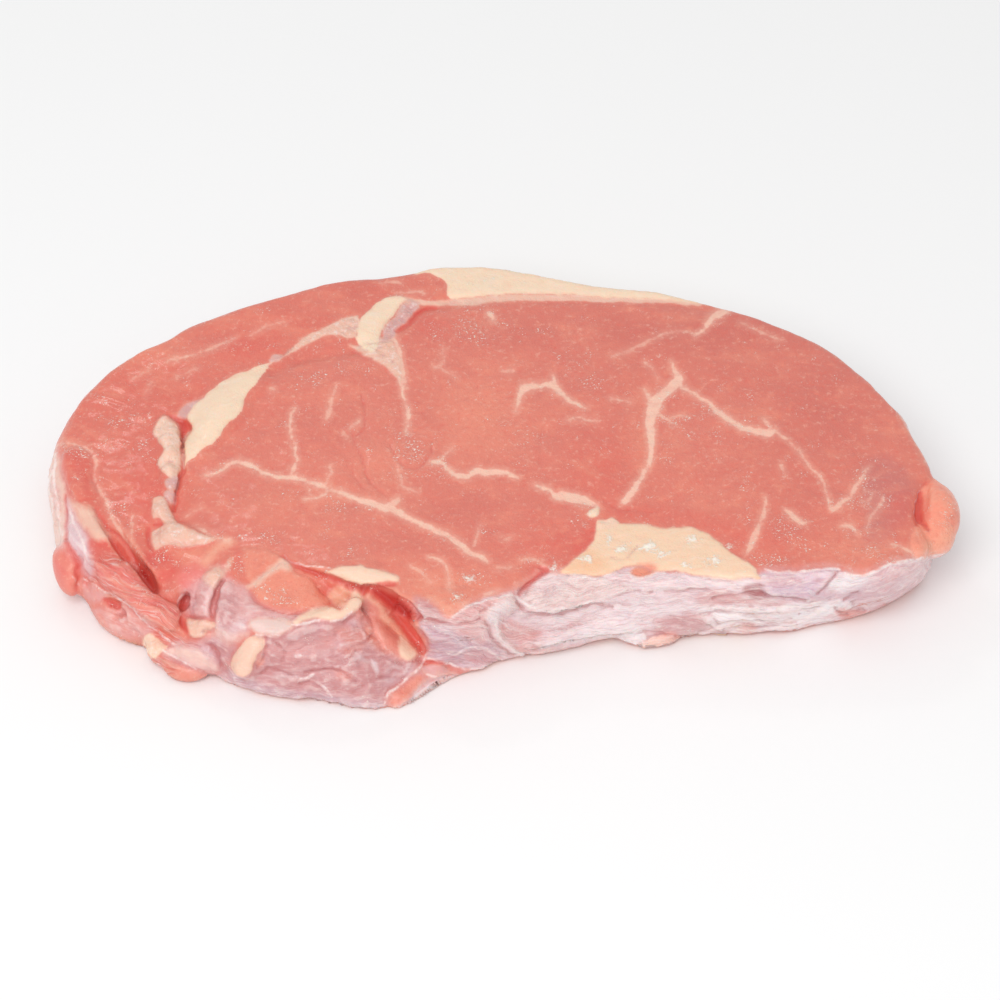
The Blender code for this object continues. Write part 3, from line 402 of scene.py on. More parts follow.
# Marbling: (strength, line)
VEINS = {
    "long": (1.0, "204,476,0.8 215,474,1.2 232,463,1.8 240,462,1.8 250,465,2.2 258,469,1.8 265,474,1.4 "
        "288,478,2.0 300,478,1.8 310,482,1.6 318,484,2.0 333,492,1.2 343,493,2.0 352,497,1.8 382,507,4.0 "
        "393,509,3.6 412,520,2.0 430,527,2.4 438,533,2.8 447,536,1.8 463,547,2.8 470,552,1.8 480,556,1.8 "
        "487,561,1.2"),
    "long_blob": (0.8, "388,506,2.0 394,502,3.0 398,499,2.4"),
    "long_twig_a": (0.7, "303,500,0.7 325,494,1.0 332,491,1.2"),
    "long_twig_c": (0.6, "306,483,1.0 309,488,0.8 310,494,0.6"),
    "long_twig_d": (0.55, "326,487,1.0 328,478,0.8 332,472,1.2 330,465,1.4"),
    "long_twig_e": (0.5, "398,466,0.8 402,483,1.1 408,489,1.2 417,493,0.8"),
    "upright": (0.85, "295,409,0.9 291,417,1.8 291,428,1.2 295,452,1.0 297,462,1.6 294,469,2.2 "
        "291,474,1.5"),
    "middle_short": (0.55, "336,387,1.6 333,394,1.2 331,402,1.2 329,411,2.4 327,419,1.2"),
    "middle_spot": (0.4, "344,432,2.4 347,436,2.4"),
    "middle_tick": (0.7, "350,427,0.8 357,423,1.0 360,420,0.7"),
    "wave_tail": (0.5, "441,461,1.4 446,453,1.4 452,448,0.8"),
    "wave": (0.95, "430,463,0.9 438,462,2.8 442,463,2.0 454,474,2.0 462,477,2.6 470,475,2.0 478,471,2.6 "
        "488,472,2.8 497,471,2.6 505,472,1.5 512,475,1.9 518,477,1.2"),
    "wave_right": (1.0, "534,485,0.9 542,488,1.9 550,491,1.5 556,496,3.2 564,496,4.8 580,500,4.8 "
        "588,503,2.8 598,507,1.2"),
    "arch": (0.95, "517,411,1.0 521,395,2.4 525,388,4.2 532,386,3.4 541,385,2.4 550,384,3.0 556,388,3.2 "
        "570,401,2.0 586,408,0.9"),
    "arch_spike": (0.9, "552,376,1.0 554,383,2.4"),
    "comma": (0.65, "568,420,0.7 580,419,1.2 590,421,1.2 596,421,0.8"),
    "tree": (1.0, "672,362,1.0 675,371,1.7 678,380,4.2 673,385,5.0 661,397,4.4 656,404,6.6 651,419,4.4 "
        "650,437,3.8 651,444,2.4 648,466,1.7 643,473,1.7 636,486,2.6 626,500,2.8 621,502,1.2"),
    "tree_twig_a": (0.8, "652,402,2.0 645,390,0.9"),
    "tree_twig_b": (0.7, "660,415,1.6 668,420,1.2 675,426,0.8"),
    "tree_twig_c": (0.5, "668,419,0.9 677,416,0.9 687,416,0.6"),
    "tree_twig_d": (0.55, "645,361,0.7 652,367,1.0 657,379,0.7"),
    "tree_twig_f": (0.6, "764,419,0.9 770,426,1.6 774,433,1.2"),
    "tree_branch": (0.95, "676,382,2.6 684,388,1.8 702,399,1.4 710,403,1.8 716,410,2.2 741,427,2.4 "
        "756,431,3.0 769,433,3.6 777,430,1.2"),
    "tree_thread": (0.75, "776,431,1.0 790,443,0.9 801,455,1.0 812,470,1.0 820,477,1.2 826,490,1.2 "
        "829,500,1.2 832,508,2.2 838,506,2.8 844,501,2.0 851,497,1.8 856,487,2.2 868,468,0.9"),
    "tree_loop": (0.45, "864,490,0.7 872,494,0.9 869,500,1.0 862,501,0.8"),
    "notch": (0.95, "733,307,1.0 724,312,3.0 714,317,3.6 708,323,2.2 702,330,1.5 694,335,1.0"),
    "notch_arc": (0.45, "694,334,0.8 680,332,1.0 667,334,1.2 650,340,1.2 636,347,1.6 611,357,0.8"),
    "right_soft": (0.75, "766,498,0.7 765,505,1.2 759,527,2.4 756,534,3.4 750,547,2.4 746,552,1.0"),
    "right_dash": (0.85, "786,510,1.0 791,514,2.6 801,523,1.8 807,523,0.9"),
    "right_dash_low": (0.7, "840,526,1.2 848,526,2.0 853,528,1.4 857,535,0.8"),
    "right_short": (0.6, "781,465,1.0 785,475,0.9"),
    "far_seam": (0.5, "882,500,1.8 878,508,1.8 872,516,1.4 868,527,0.9"),
    "hook": (0.5, "443,349,0.9 444,358,1.1 441,366,1.8 435,367,1.0"),
    "hook_branch": (0.45, "442,369,1.4 457,377,0.7"),
    "fleck_high": (0.95, "488,312,1.0 491,316,2.4 493,320,1.1"),
    "fleck_pale": (0.5, "504,371,1.2 512,371,2.2"),
    "fleck_b": (0.6, "271,388,1.4 274,389,1.0"),
    "fleck_e": (0.6, "610,399,0.7 631,402,0.7"),
    "fleck_g": (0.5, "500,538,1.2 506,540,1.6 512,537,0.8"),
    "fleck_h": (0.5, "474,545,1.2 482,524,0.8"),
    "seam_thread": (1.0, "393,339,1.8 398,349,1.6 403,375,1.6 402,386,1.4 407,408,1.5 408,418,1.4 "
        "407,432,1.0"),
    "seam_thread_side": (0.6, "403,385,0.8 406,380,0.9 406,389,0.7"),
    "star_thread": (0.75, "197,528,0.9 207,532,1.2 216,537,1.2 229,540,0.7"),
    "lens_thread": (0.55, "186,516,0.7 202,508,0.6"),
    "rim_thread": (0.8, "428,557,0.6 437,559,0.9 445,564,1.1 449,575,1.0 451,590,0.6"),
    "rim_thread_b": (0.5, "410,566,0.8 420,572,1.2 430,582,0.8"),
    "lobe_thread_a": (0.6, "168,361,0.9 205,352,0.9"),
    "lobe_thread_b": (0.5, "176,377,0.9 198,368,0.8"),
    "lobe_thread_c": (0.45, "133,379,0.7 151,368,0.7"),
    "lobe_thread_d": (0.45, "145,395,0.8 152,381,0.8"),
    "lobe_thread_e": (0.55, "205,351,0.9 214,347,1.6 236,338,0.7"),
    "lobe_thread_f": (0.5, "250,336,0.7 266,327,1.1 285,322,0.8"),
    "lobe_edge": (0.65, "56,446,1.0 66,443,1.2 78,445,1.0 90,451,1.4 96,461,1.4 94,472,1.2 94,481,1.2"),
    "lobe_edge_low": (0.65, "94,481,1.2 100,492,1.6 106,501,1.4 110,512,1.3 123,537,1.6 130,547,1.1"),
    "lobe_twig": (0.5, "134,516,0.7 130,540,0.9"),
    "cap_red_thread_a": (0.5, "396,294,0.8 424,292,0.8"),
    "cap_red_thread_b": (0.45, "380,284,0.8 392,282,1.3 402,284,0.8"),
    "back_thread": (0.5, "741,322,0.8 762,333,1.0 782,340,0.8"),
    "right_rim_thread": (0.5, "900,415,1.0 915,440,1.2 925,462,1.0"),
    "nub_thread": (0.75, "892,544,0.8 902,547,1.0 911,552,1.1 914,559,1.1 913,567,0.8"),
    "lip_pale_a": (0.5, "497,568,0.8 504,567,1.0 511,568,0.8"),
    "lip_pale_b": (0.6, "521,561,0.9 530,559,1.2 537,560,0.9 546,566,0.8"),
    "lip_pale_c": (0.6, "482,598,0.8 490,593,1.6 497,592,1.0"),
}
# Crevices, whose deep red is partly the flesh's own red and partly painted shade: (depth in mm, line)
CREVICES = {
    "lobe_crack": (0.6, "284,556,1.2 291,562,1.8 312,572,2.4 336,580,2.6 350,586,3.0 364,589,4.0"),
    "lobe_crevice": (1.5, "361,587,2.0 372,590,3.6 382,595,6.0 394,603,8.0 404,610,8.0 412,615,6.0 "
        "419,618,3.0"),
    "flap_crevice": (0.5, "95,508,0.6 113,532,1.0 122,541,1.1 138,563,2.4 146,576,4.6 153,588,1.6"),
    "lens_hole": (1.0, "168,417,1.4 177,420,3.0 184,426,4.4 182,443,1.4 184,468,1.1 180,480,1.1 "
        "174,508,1.1"),
    "star_gap": (0.5, "149,528,1.1 149,538,1.7 151,548,1.1"),
    "star_foot": (0.4, "155,524,1.2 162,524,1.2"),
    "upper_hole": (1.0, "181,608,2.4 184,604,3.6 186,599,2.0"),
    "lower_hole": (0.8, "182,620,2.0 183,625,3.0 187,631,1.6"),
    "flap_hole": (0.9, "104,600,1.6 110,603,3.4 117,606,2.0"),
    "nick": (0.6, "540,567,1.0 547,570,2.0 541,574,1.5 524,588,1.0 519,594,0.7"),
    "nub_crevice": (0.7, "921,493,1.2 918,514,3.0 921,523,1.6 928,531,0.9"),
    "band_shadow": (0.35, "396,332,1.0 408,324,2.0 417,314,2.4 426,308,1.8 436,307,0.9"),
    "nodule_gap": (0.4, "66,541,1.0 74,553,1.4 79,562,2.0 76,572,1.4 77,586,1.1"),
    "sliver_shadow": (0.4, "342,584,1.4 360,587,2.0 380,587,2.6 394,584,1.6"),
    "base_gap": (0.5, "424,664,1.0 432,663,1.4 442,664,1.2"),
    "rim_gap": (0.4, "66,496,0.9 67,515,1.1 66,540,0.9"),
}
# Furrows and folds in the flesh and the skin: (depth in mm, strength of the shade, line)
CREASES = {
    "roll_crease": (0.7, 0.9, "222,580,1.4 217,590,2.4 214,603,2.8 213,615,2.0"),
    "crevice_low": (0.9, 0.1, "395,615,4.0 402,623,5.0 417,643,3.4 423,653,1.6"),
    "face_wrinkle_a": (0.35, 0.4, "372,634,0.8 364,642,1.4 352,646,1.2 344,654,0.8"),
    "face_wrinkle_b": (0.3, 0.4, "380,656,0.8 392,660,1.2 404,666,1.0"),
    "face_wrinkle_c": (0.3, 0.4, "370,680,0.8 382,676,1.2 394,676,0.9"),
    "face_wrinkle_d": (0.3, 0.35, "275,640,0.8 284,650,1.2 282,660,0.9"),
    "tag_crease": (0.5, 0.7, "211,645,1.6 216,655,2.0 222,665,1.4"),
    "scrap_shade": (0.4, 0.6, "190,617,1.0 200,618,1.6 213,617,1.0"),
    "scrap_notch": (0.4, 0.9, "203,632,1.1 209,630,1.5"),
    "block_fold_upper": (0.4, 0.7, "420,622,1.0 430,620,1.3 454,623,1.1 466,622,1.3 480,619,1.0"),
    "block_fold_lower": (0.3, 0.4, "428,628,0.9 440,633,1.1 470,640,1.0"),
    "block_fold_side": (0.3, 0.6, "481,612,1.2 487,609,1.2 494,604,0.9"),
    "block_fold_foot": (0.2, 0.4, "452,656,1.0 470,650,1.3 488,652,1.2 500,658,0.9"),
    "band_fold": (0.35, 0.5, "486,622,1.2 490,634,1.4 499,645,1.2 512,655,1.0"),
    "pale_fold": (0.5, 0.45, "516,600,1.0 521,606,1.8 530,613,1.8 545,615,1.7 565,614,1.5 580,608,1.6 "
        "596,607,1.4 612,609,1.0"),
    "pale_fold_right": (0.3, 0.3, "600,599,1.0 640,591,1.0"),
    "shelf_dark": (0.5, 0.6, "712,600,1.2 722,596,1.6 736,596,1.6 748,593,2.2 760,593,2.2 772,597,1.4 "
        "806,600,0.8"),
    "shelf_upper": (0.35, 0.5, "650,592,1.0 668,590,1.2 684,591,1.2 698,589,1.2 712,591,0.9"),
    "spot_line": (0.25, 0.7, "745,587,0.9 756,585,1.2 766,586,0.9"),
    "shelf_under": (0.5, 0.45, "700,612,1.1 722,611,1.4 760,613,1.4 800,612,1.1"),
    "shelf_slash": (0.3, 0.7, "709,613,0.9 719,622,0.8"),
    "shelf_low": (0.4, 0.5, "716,623,1.0 735,619,1.3 756,617,1.2 774,621,1.3 792,617,1.0"),
    "shelf_foot": (0.4, 0.6, "724,628,1.0 742,623,1.4 760,626,1.3 774,624,1.4 796,622,1.0"),
    "right_fold": (0.4, 0.8, "844,600,1.1 851,596,1.8 857,592,1.2"),
    "right_fold_b": (0.3, 0.5, "852,602,0.9 876,592,0.9"),
    "right_base": (0.4, 0.9, "835,609,1.2 841,613,1.6 847,614,1.0"),
    "right_base_b": (0.4, 0.8, "848,611,1.2 856,610,1.6 864,611,1.2"),
    "wall_split": (0.3, 0.8, "837,573,0.9 817,594,0.8"),
    "face_lip_a": (0.45, 0.9, "303,671,0.9 312,671,1.4 334,667,1.2"),
    "face_lip_b": (0.4, 0.6, "336,668,1.0 346,674,1.4 355,681,0.9"),
    "face_lip_c": (0.4, 0.6, "262,672,0.9 270,667,1.2 282,670,1.1 292,674,0.8"),
    "face_lip_d": (0.35, 0.7, "299,683,0.8 310,681,1.3 320,685,0.8"),
    "face_line": (0.2, 0.4, "355,650,0.7 338,670,0.7"),
    "lip_shadow": (0.3, 0.5, "296,629,1.0 304,626,1.4 320,624,1.4 340,624,1.3 354,615,1.0"),
    "drape_shadow": (0.3, 0.5, "252,636,1.0 264,639,1.3 280,637,1.2 292,631,1.0"),
    "tag_shadow": (0.4, 0.5, "257,666,1.4 263,657,1.4 267,646,1.0"),
    "flap_strip": (0.35, 0.3, "98,585,1.2 112,594,1.2 128,609,1.2 146,624,1.2 163,636,0.9"),
    "fat_cleft": (0.25, 0.3, "637,546,0.7 632,553,1.1 625,560,1.1 612,558,0.8"),
    "seam_gap": (0.25, 0.8, "279,357,0.7 287,353,1.0 294,346,0.7"),
    "junction_gap": (0.25, 0.5, "353,353,0.8 372,358,0.8"),
    "left_furrow": (0.25, 0.35, "352,435,0.9 362,458,1.3 366,472,1.2 373,485,1.3 383,493,0.8"),
    "left_furrow_b": (0.2, 0.25, "351,470,0.8 357,480,1.1 365,488,0.8"),
    "upper_furrow": (0.25, 0.35, "362,395,1.2 364,410,1.8 363,428,1.4 356,436,1.0"),
    "dimple_rim": (0.25, 0.35, "391,446,0.9 396,457,1.3 403,465,1.4 413,468,1.2 422,464,1.1 430,453,1.2 "
        "432,440,0.9"),
    "middle_furrow": (0.15, 0.3, "543,425,1.0 540,445,1.4 541,465,1.0"),
    "right_furrow": (0.2, 0.3, "604,500,1.0 620,508,1.4 650,512,1.0"),
}
# Thin pale strands and flake edges: (rise in mm, line)
STRANDS = {
    "flap_long": (0.15, "82,578,0.5 106,592,0.6 130,607,0.8 141,618,0.8 163,636,0.7 176,644,0.5"),
    "flap_low": (0.2, "163,649,0.7 196,670,0.8"),
    "flap_short": (0.2, "68,505,0.7 73,520,0.9 80,536,1.0 86,552,1.0 86,568,0.8"),
    "rim_strand_a": (0.3, "57,452,0.8 54,468,1.2 55,488,1.2 59,510,1.1 62,535,0.8"),
    "rim_strand_b": (0.25, "52,470,0.8 49,486,1.0 52,504,1.0 54,522,0.8"),
    "nodule_edge": (0.2, "72,577,0.6 78,584,0.8 80,594,0.8"),
    "lobe_edge_white": (0.35, "426,655,0.8 421,666,1.2 403,681,1.1 395,689,1.1 388,694,1.1 385,704,1.0 "
        "385,713,0.8"),
    "block_ridge": (0.25, "444,652,0.6 454,655,0.8 463,649,0.9 477,647,1.0 488,650,1.0 502,660,0.8"),
    "fold_ridge": (0.45, "518,597,0.7 532,607,1.1 542,610,1.1 556,610,1.1 584,603,1.0 632,590,0.8"),
    "band_ridge": (0.2, "496,617,0.8 495,627,1.0 500,637,1.0 512,648,1.0 522,655,0.8"),
    "upper_ridge": (0.35, "655,591,0.7 668,589,0.9 684,589,0.9 690,587,0.9 703,586,0.8"),
    "fold_white_line": (0.2, "570,574,0.7 586,578,0.9 600,578,0.8 612,573,0.7"),
    "red_spot_rim": (0.25, "631,582,0.7 652,574,0.9 664,573,0.7"),
    "shelf_ridge": (0.4, "698,611,0.8 706,608,1.1 720,607,1.2 738,610,1.2 758,609,1.2 806,605,1.0 "
        "826,600,0.8"),
    "shelf_ridge_mid": (0.35, "718,618,0.8 736,615,1.1 760,615,1.1 812,610,0.9"),
    "shelf_ridge_low": (0.35, "716,627,0.8 738,621,1.2 752,623,1.1 764,620,1.1 786,622,1.1 806,617,0.9 "
        "826,609,0.8"),
    "foot_ridge": (0.35, "700,634,0.8 718,629,1.0 736,629,1.1 756,632,1.1 776,628,1.1 830,625,0.8"),
    "foot_ridge_left": (0.35, "427,659,0.8 440,663,1.0 452,665,1.0 465,669,1.1 484,668,1.1 503,664,0.8"),
    "shelf_mid_line": (0.2, "704,595,0.6 714,590,0.8 722,590,0.8 732,585,0.7"),
    "rim_white_a": (0.25, "764,570,0.7 776,572,1.0 792,572,1.0 826,569,1.0 840,570,0.8"),
    "rim_white_b": (0.25, "846,573,0.8 858,575,1.2 872,573,1.1 886,566,1.0 902,561,1.0 946,555,0.8"),
    "rim_white_c": (0.2, "450,617,0.7 474,605,0.8 512,595,0.6"),
    "lip_edge": (0.2, "292,625,0.8 300,625,1.0 318,621,1.0 338,621,1.1 352,613,0.9"),
    "crack_edge": (0.25, "284,554,0.7 292,562,0.9 304,565,0.8 318,566,0.8 330,568,0.7"),
    "pocket_edge": (0.15, "185,590,0.5 180,598,0.6 178,610,0.6"),
    "hole_edge": (0.15, "182,612,0.5 178,620,0.6 178,630,0.5"),
    "drape_edge": (0.15, "258,635,0.7 268,637,0.9 280,635,0.7"),
    "face_flake": (0.3, "299,679,0.8 308,677,1.6 314,675,1.0"),
    "face_flake_line": (0.2, "311,680,0.7 320,683,0.9 328,690,0.9 332,698,0.6"),
    "face_star": (0.25, "295,655,1.0 299,655,1.7"),
    "base_flake_edge": (0.15, "427,675,0.6 435,677,0.9 443,675,0.7"),
}

# Soft stains in the flesh: (tint, strength, x, y, reach along x, reach along y)
FLESH_STAINS = [
    ("left_lean", 0.8, 150, 390, 90, 70), ("left_lean", 0.8, 90, 480, 60, 70),
    ("left_lean", 0.7, 270, 320, 90, 26), ("left_lean", 0.6, 380, 290, 60, 14),
    ("red_lean", 0.45, 240, 345, 40, 14), ("red_lean", 0.4, 150, 505, 24, 40),
    ("orange_lean", 0.6, 440, 585, 50, 20), ("dusk_lean", 0.7, 700, 330, 130, 30),
    ("dusk_lean", 0.6, 830, 400, 70, 60), ("red_lean", 0.3, 560, 540, 50, 22),
    ("red_lean", 0.35, 430, 325, 24, 16), ("orange_lean", 0.4, 200, 556, 30, 14),
    ("orange_lean", 0.35, 130, 345, 90, 22), ("orange_lean", 0.35, 880, 555, 50, 14),
    ("orange_lean", 0.45, 480, 420, 50, 40), ("orange_lean", 0.4, 640, 435, 14, 40),
    ("orange_lean", 0.35, 380, 470, 30, 30), ("orange_lean", 0.4, 300, 500, 70, 20),
    ("dusk_lean", 0.4, 250, 495, 30, 20), ("dusk_lean", 0.4, 470, 510, 60, 20),
    ("dusk_lean", 0.4, 500, 330, 60, 16), ("orange_lean", 0.4, 820, 545, 60, 14),
    ("deep_lean", 0.4, 158, 570, 14, 18), ("deep_lean", 0.2, 140, 600, 14, 10),
    ("red_lean", 0.3, 600, 470, 30, 40), ("red_lean", 0.3, 780, 540, 40, 20),
]
# The same in the silverskin
SKIN_STAINS = [
    ("white_skin", 0.3, 620, 620, 80, 24), ("white_skin", 0.7, 780, 612, 80, 14),
    ("lilac_skin", 0.5, 850, 590, 60, 20), ("mauve_skin", 0.8, 320, 660, 100, 40),
    ("rosy_skin", 0.6, 120, 620, 34, 18), ("peach_skin", 0.6, 55, 500, 20, 60),
    ("beige_skin", 0.6, 560, 590, 60, 14),
]
# Where the wet surface sparkles, with painted highlight specks in its colour as well as gloss and bumps:
# (strength, x, y, reach along x, reach along y)
SPARKLES = [
    (1.0, 80, 452, 20, 8), (0.8, 120, 512, 20, 20), (1.0, 160, 560, 24, 16), (0.7, 140, 550, 10, 10),
    (0.9, 265, 539, 24, 6), (1.0, 277, 597, 26, 9), (0.9, 237, 570, 12, 14), (0.8, 475, 330, 40, 16),
    (0.7, 440, 340, 16, 8), (1.0, 410, 450, 24, 20), (0.7, 318, 375, 20, 7), (0.7, 350, 368, 20, 8),
    (0.7, 588, 382, 16, 14), (1.0, 784, 534, 26, 18), (1.0, 764, 561, 24, 6), (1.0, 470, 578, 16, 7),
    (0.8, 455, 600, 22, 8), (0.8, 350, 555, 12, 8), (0.6, 528, 440, 16, 24), (0.6, 860, 500, 26, 40),
    (0.6, 345, 510, 24, 10), (0.7, 870, 552, 40, 12), (0.5, 700, 420, 60, 30), (0.6, 210, 345, 24, 10),
    (0.5, 120, 420, 40, 40), (0.6, 530, 560, 20, 14), (0.8, 440, 465, 18, 12), (0.6, 570, 370, 20, 20),
    (0.9, 950, 520, 8, 30), (0.7, 935, 545, 16, 8), (0.6, 440, 540, 12, 8), (0.7, 580, 520, 14, 14),
]
# Where the front fat shines, with painted highlights in its colour as well as a glossier surface: (strength,
# x, y, reach along x, reach along y)
SHINES = [
    (1.0, 609, 540, 4, 7), (0.9, 622, 549, 7, 5), (1.0, 648, 547, 10, 6), (0.9, 666, 555, 10, 4),
    (0.9, 687, 566, 6, 3), (0.8, 715, 561, 12, 6), (0.7, 690, 540, 14, 4), (0.8, 586, 560, 8, 5),
    (0.7, 730, 546, 4, 3), (0.7, 555, 566, 6, 6), (0.8, 458, 597, 6, 5), (0.7, 470, 580, 8, 5),
    (0.7, 593, 513, 5, 4), (0.6, 134, 583, 6, 3), (0.6, 170, 590, 5, 4),
]
# Lie of the fibres in the silverskin and in the torn flesh: (x, y, degrees from +x, downwards positive)
FIBRE_LIES = [
    (430, 615, 10), (450, 640, 12), (470, 655, 16), (490, 630, 62), (510, 640, 45), (540, 590, -30),
    (560, 610, -6), (600, 600, -20), (640, 585, -12), (560, 650, -18), (610, 635, -10), (680, 600, -6),
    (680, 628, 6), (730, 580, 2), (740, 610, 2), (790, 605, -2), (800, 575, -10), (820, 620, -6),
    (850, 590, -38), (880, 585, -42), (910, 575, -44), (930, 565, -40), (870, 615, -18), (230, 590, 75),
    (200, 590, 70), (260, 610, 20), (300, 650, 12), (340, 665, -8), (380, 670, -28), (300, 690, 12),
    (350, 700, 14), (240, 670, 30), (210, 660, 30), (180, 655, 26), (80, 530, 62), (88, 560, 66),
    (100, 575, 40), (120, 590, 34), (150, 605, 24), (165, 625, 32), (110, 620, 30), (130, 560, 48),
    (55, 470, 84), (52, 510, 78), (60, 560, 80), (400, 640, 52), (420, 690, -34), (250, 560, -20),
    (290, 590, -14), (330, 600, -24), (150, 500, 60), (120, 440, 50), (130, 390, -40), (200, 350, -30),
    (280, 320, -20), (380, 290, -8), (250, 430, -40), (300, 500, 20), (400, 540, 20), (380, 420, 60),
    (450, 350, 30), (500, 450, 10), (520, 400, -50), (590, 400, 40), (600, 470, 20), (640, 440, -60),
    (700, 350, 10), (750, 400, 30), (820, 460, 50), (860, 420, 40), (880, 500, -60), (740, 500, -50),
    (560, 330, 4), (820, 530, -20), (540, 530, -10), (690, 480, -30), (940, 520, 80),
]


# ---------------------------------------------------------------------------------------------
# Settings that a user would change
# ---------------------------------------------------------------------------------------------
def size_setting(label, description, default):
    """A length, in metres."""
    return FloatProperty(name=label, description=description, default=default, subtype="DISTANCE",
                         unit="LENGTH")


def share_setting(label, description, default):
    """A share of a whole."""
    return FloatProperty(name=label, description=description, default=default, subtype="FACTOR",
                         min=0.0, max=1.0)


def colour_setting(label, description, red, green, blue):
    """A linear colour from the three numbers that a picture shows, each up to 255."""
    linear = []
    for shown in (red / 255, green / 255, blue / 255):
        linear.append(shown / 12.92 if shown <= 0.04045 else ((shown + 0.055) / 1.055) ** 2.4)
    return FloatVectorProperty(name=label, description=description, default=linear, size=3, subtype="COLOR",
                               min=0.0, max=1.0)


class SteakSizes(bpy.types.PropertyGroup):
    """Sizes of the flesh and its relief."""
    grain: size_setting("Grain", "Spacing of the points of the skin", 0.46 * MM)
    most_faces: IntProperty(name="Most faces", description="Triangles that are kept", default=190000,
                            min=20000)
    relief: share_setting("Relief", "How much of the drawn relief is raised and pressed", 1.0)
    cut_waves: size_setting("Cut waves", "Height of the unevenness of the cut faces", 0.26 * MM)
    wall_waves: size_setting("Wall waves", "Height of the lumps in the walls", 0.55 * MM)
    wrinkles: size_setting("Wrinkles", "Height of the wrinkles in the silverskin", 0.24 * MM)
    lumps: size_setting("Lumps", "Height of the lumps under the skin of the loose lobe", 0.4 * MM)
    knobs: size_setting("Knobs", "Height of the knobs on tendon ends", 0.35 * MM)
    torn_fibres: size_setting("Torn fibres", "Height of the fibres of torn flesh", 0.26 * MM)


class SteakColours(bpy.types.PropertyGroup):
    """Colours of the flesh, fat and skin."""
    lean: colour_setting("Lean", "The broad muscle", 226, 127, 110)
    left_lean: colour_setting("Left lean", "The muscle round the left end", 225, 116, 99)
    red_lean: colour_setting("Red lean", "Fresh red flesh", 226, 94, 82)
    pink_lean: colour_setting("Pink lean", "Torn flesh with thin skin over it", 236, 124, 118)
    orange_lean: colour_setting("Orange lean", "Thin flesh that the light comes through", 240, 149, 124)
    salmon_lean: colour_setting("Salmon lean", "Smooth flesh of the loose lobe", 240, 148, 124)
    dusk_lean: colour_setting("Dusk lean", "The muscle along the back", 215, 116, 103)
    mauve_lean: colour_setting("Mauve lean", "Greyer flesh at the right end", 206, 120, 114)
    nub_flesh: colour_setting("Nub", "The rounded end of a muscle", 250, 158, 132)
    # deep_lean is also laid down in the crevices as painted shade
    deep_lean: colour_setting("Deep lean", "Flesh down in a crevice", 196, 44, 38)
    ivory_fat: colour_setting("Ivory fat", "The firm fat of the back and the seams", 249, 219, 191)
    butter_fat: colour_setting("Butter fat", "The soft fat at the front", 249, 211, 180)
    amber_fat: colour_setting("Amber fat", "Fat that the light comes through", 246, 190, 148)
    pale_fat: colour_setting("Pale fat", "Thin fat and lips", 248, 211, 186)
    peach_fat: colour_setting("Peach fat", "Fat with flesh below it", 244, 180, 152)
    tendon: colour_setting("Tendon", "Tendon and thin fat together", 238, 190, 170)
    grey_tendon: colour_setting("Grey tendon", "Clear tendon", 218, 168, 163)
    pale_tendon: colour_setting("Pale tendon", "White tendon ends", 243, 202, 180)
    vein: colour_setting("Vein", "Marbling", 248, 198, 177)
    pale_skin: colour_setting("Pale skin", "Thick silverskin", 234, 202, 194)
    skin: colour_setting("Skin", "Silverskin", 234, 200, 203)
    lilac_skin: colour_setting("Lilac skin", "Silverskin over dark flesh", 210, 172, 184)
    violet_skin: colour_setting("Violet skin", "Clear silverskin", 224, 192, 208)
    white_skin: colour_setting("White skin", "Silverskin over fat", 250, 238, 240)
    beige_skin: colour_setting("Beige skin", "Smooth silverskin", 234, 206, 202)
    rosy_skin: colour_setting("Rosy skin", "Thin silverskin over flesh", 228, 166, 163)
    mauve_skin: colour_setting("Mauve skin", "Dull skin over the loose lobe", 206, 142, 142)
    peach_skin: colour_setting("Peach skin", "Skin with fat below it", 242, 198, 182)
    fleshy_skin: colour_setting("Fleshy skin", "Skin so thin that the flesh shows", 232, 144, 128)
    crease: colour_setting("Crease", "Shade in the furrows and folds", 178, 92, 92)
    strand: colour_setting("Strand", "White strands and flake edges", 252, 234, 230)
    # glint is a painted highlight colour, laid into the colour of the wet specks and the shine
    glint: colour_setting("Glint", "Wet specks that catch the light", 255, 245, 234)


class StageSettings(bpy.types.PropertyGroup):
    """The floor and the light."""
    floor: colour_setting("Floor", "Pale floor", 250, 250, 250)
    key_power: FloatProperty(name="Key power", description="Strength of the large light in front",
                             default=3.9, unit="POWER")
    spark_power: FloatProperty(name="Spark power", description="Strength of the small light behind",
                               default=0.2, unit="POWER")
    fill: FloatProperty(name="Fill", description="Strength of the light from all round", default=0.68)


# ---------------------------------------------------------------------------------------------
# From the flesh to the photograph
# ---------------------------------------------------------------------------------------------
def camera_axes():
    """Directions back to the camera and up the picture."""
    back = np.array([0.0, -math.cos(CAMERA_ELEVATION), math.sin(CAMERA_ELEVATION)])
    up = np.array([0.0, math.sin(CAMERA_ELEVATION), math.cos(CAMERA_ELEVATION)])
    return back, up


def to_photo(points):
    """Pixel of the photograph that each point is seen at."""
    back, up = camera_axes()
    offsets = points - (np.array(CAMERA_TARGET) + back * CAMERA_DISTANCE)
    depths = -(offsets @ back)
    focal = PHOTO_PIXELS * CAMERA_LENS / CAMERA_SENSOR
    across = PHOTO_PIXELS / 2 + focal * offsets[:, 0] / depths
    down = PHOTO_PIXELS / 2 - focal * (offsets @ up) / depths
    return np.stack([across, down], axis=1)


def smooth_step(low, high, values):
    """0 below low, 1 above high and an even ease between."""
    t = np.clip((values - low) / (high - low), 0.0, 1.0)
    return t * t * (3 - 2 * t)


def read_spots(text):
    """Points from a text such as "400,297 420,299"."""
    return np.array([[float(value) for value in spot.split(",")] for spot in text.split()])


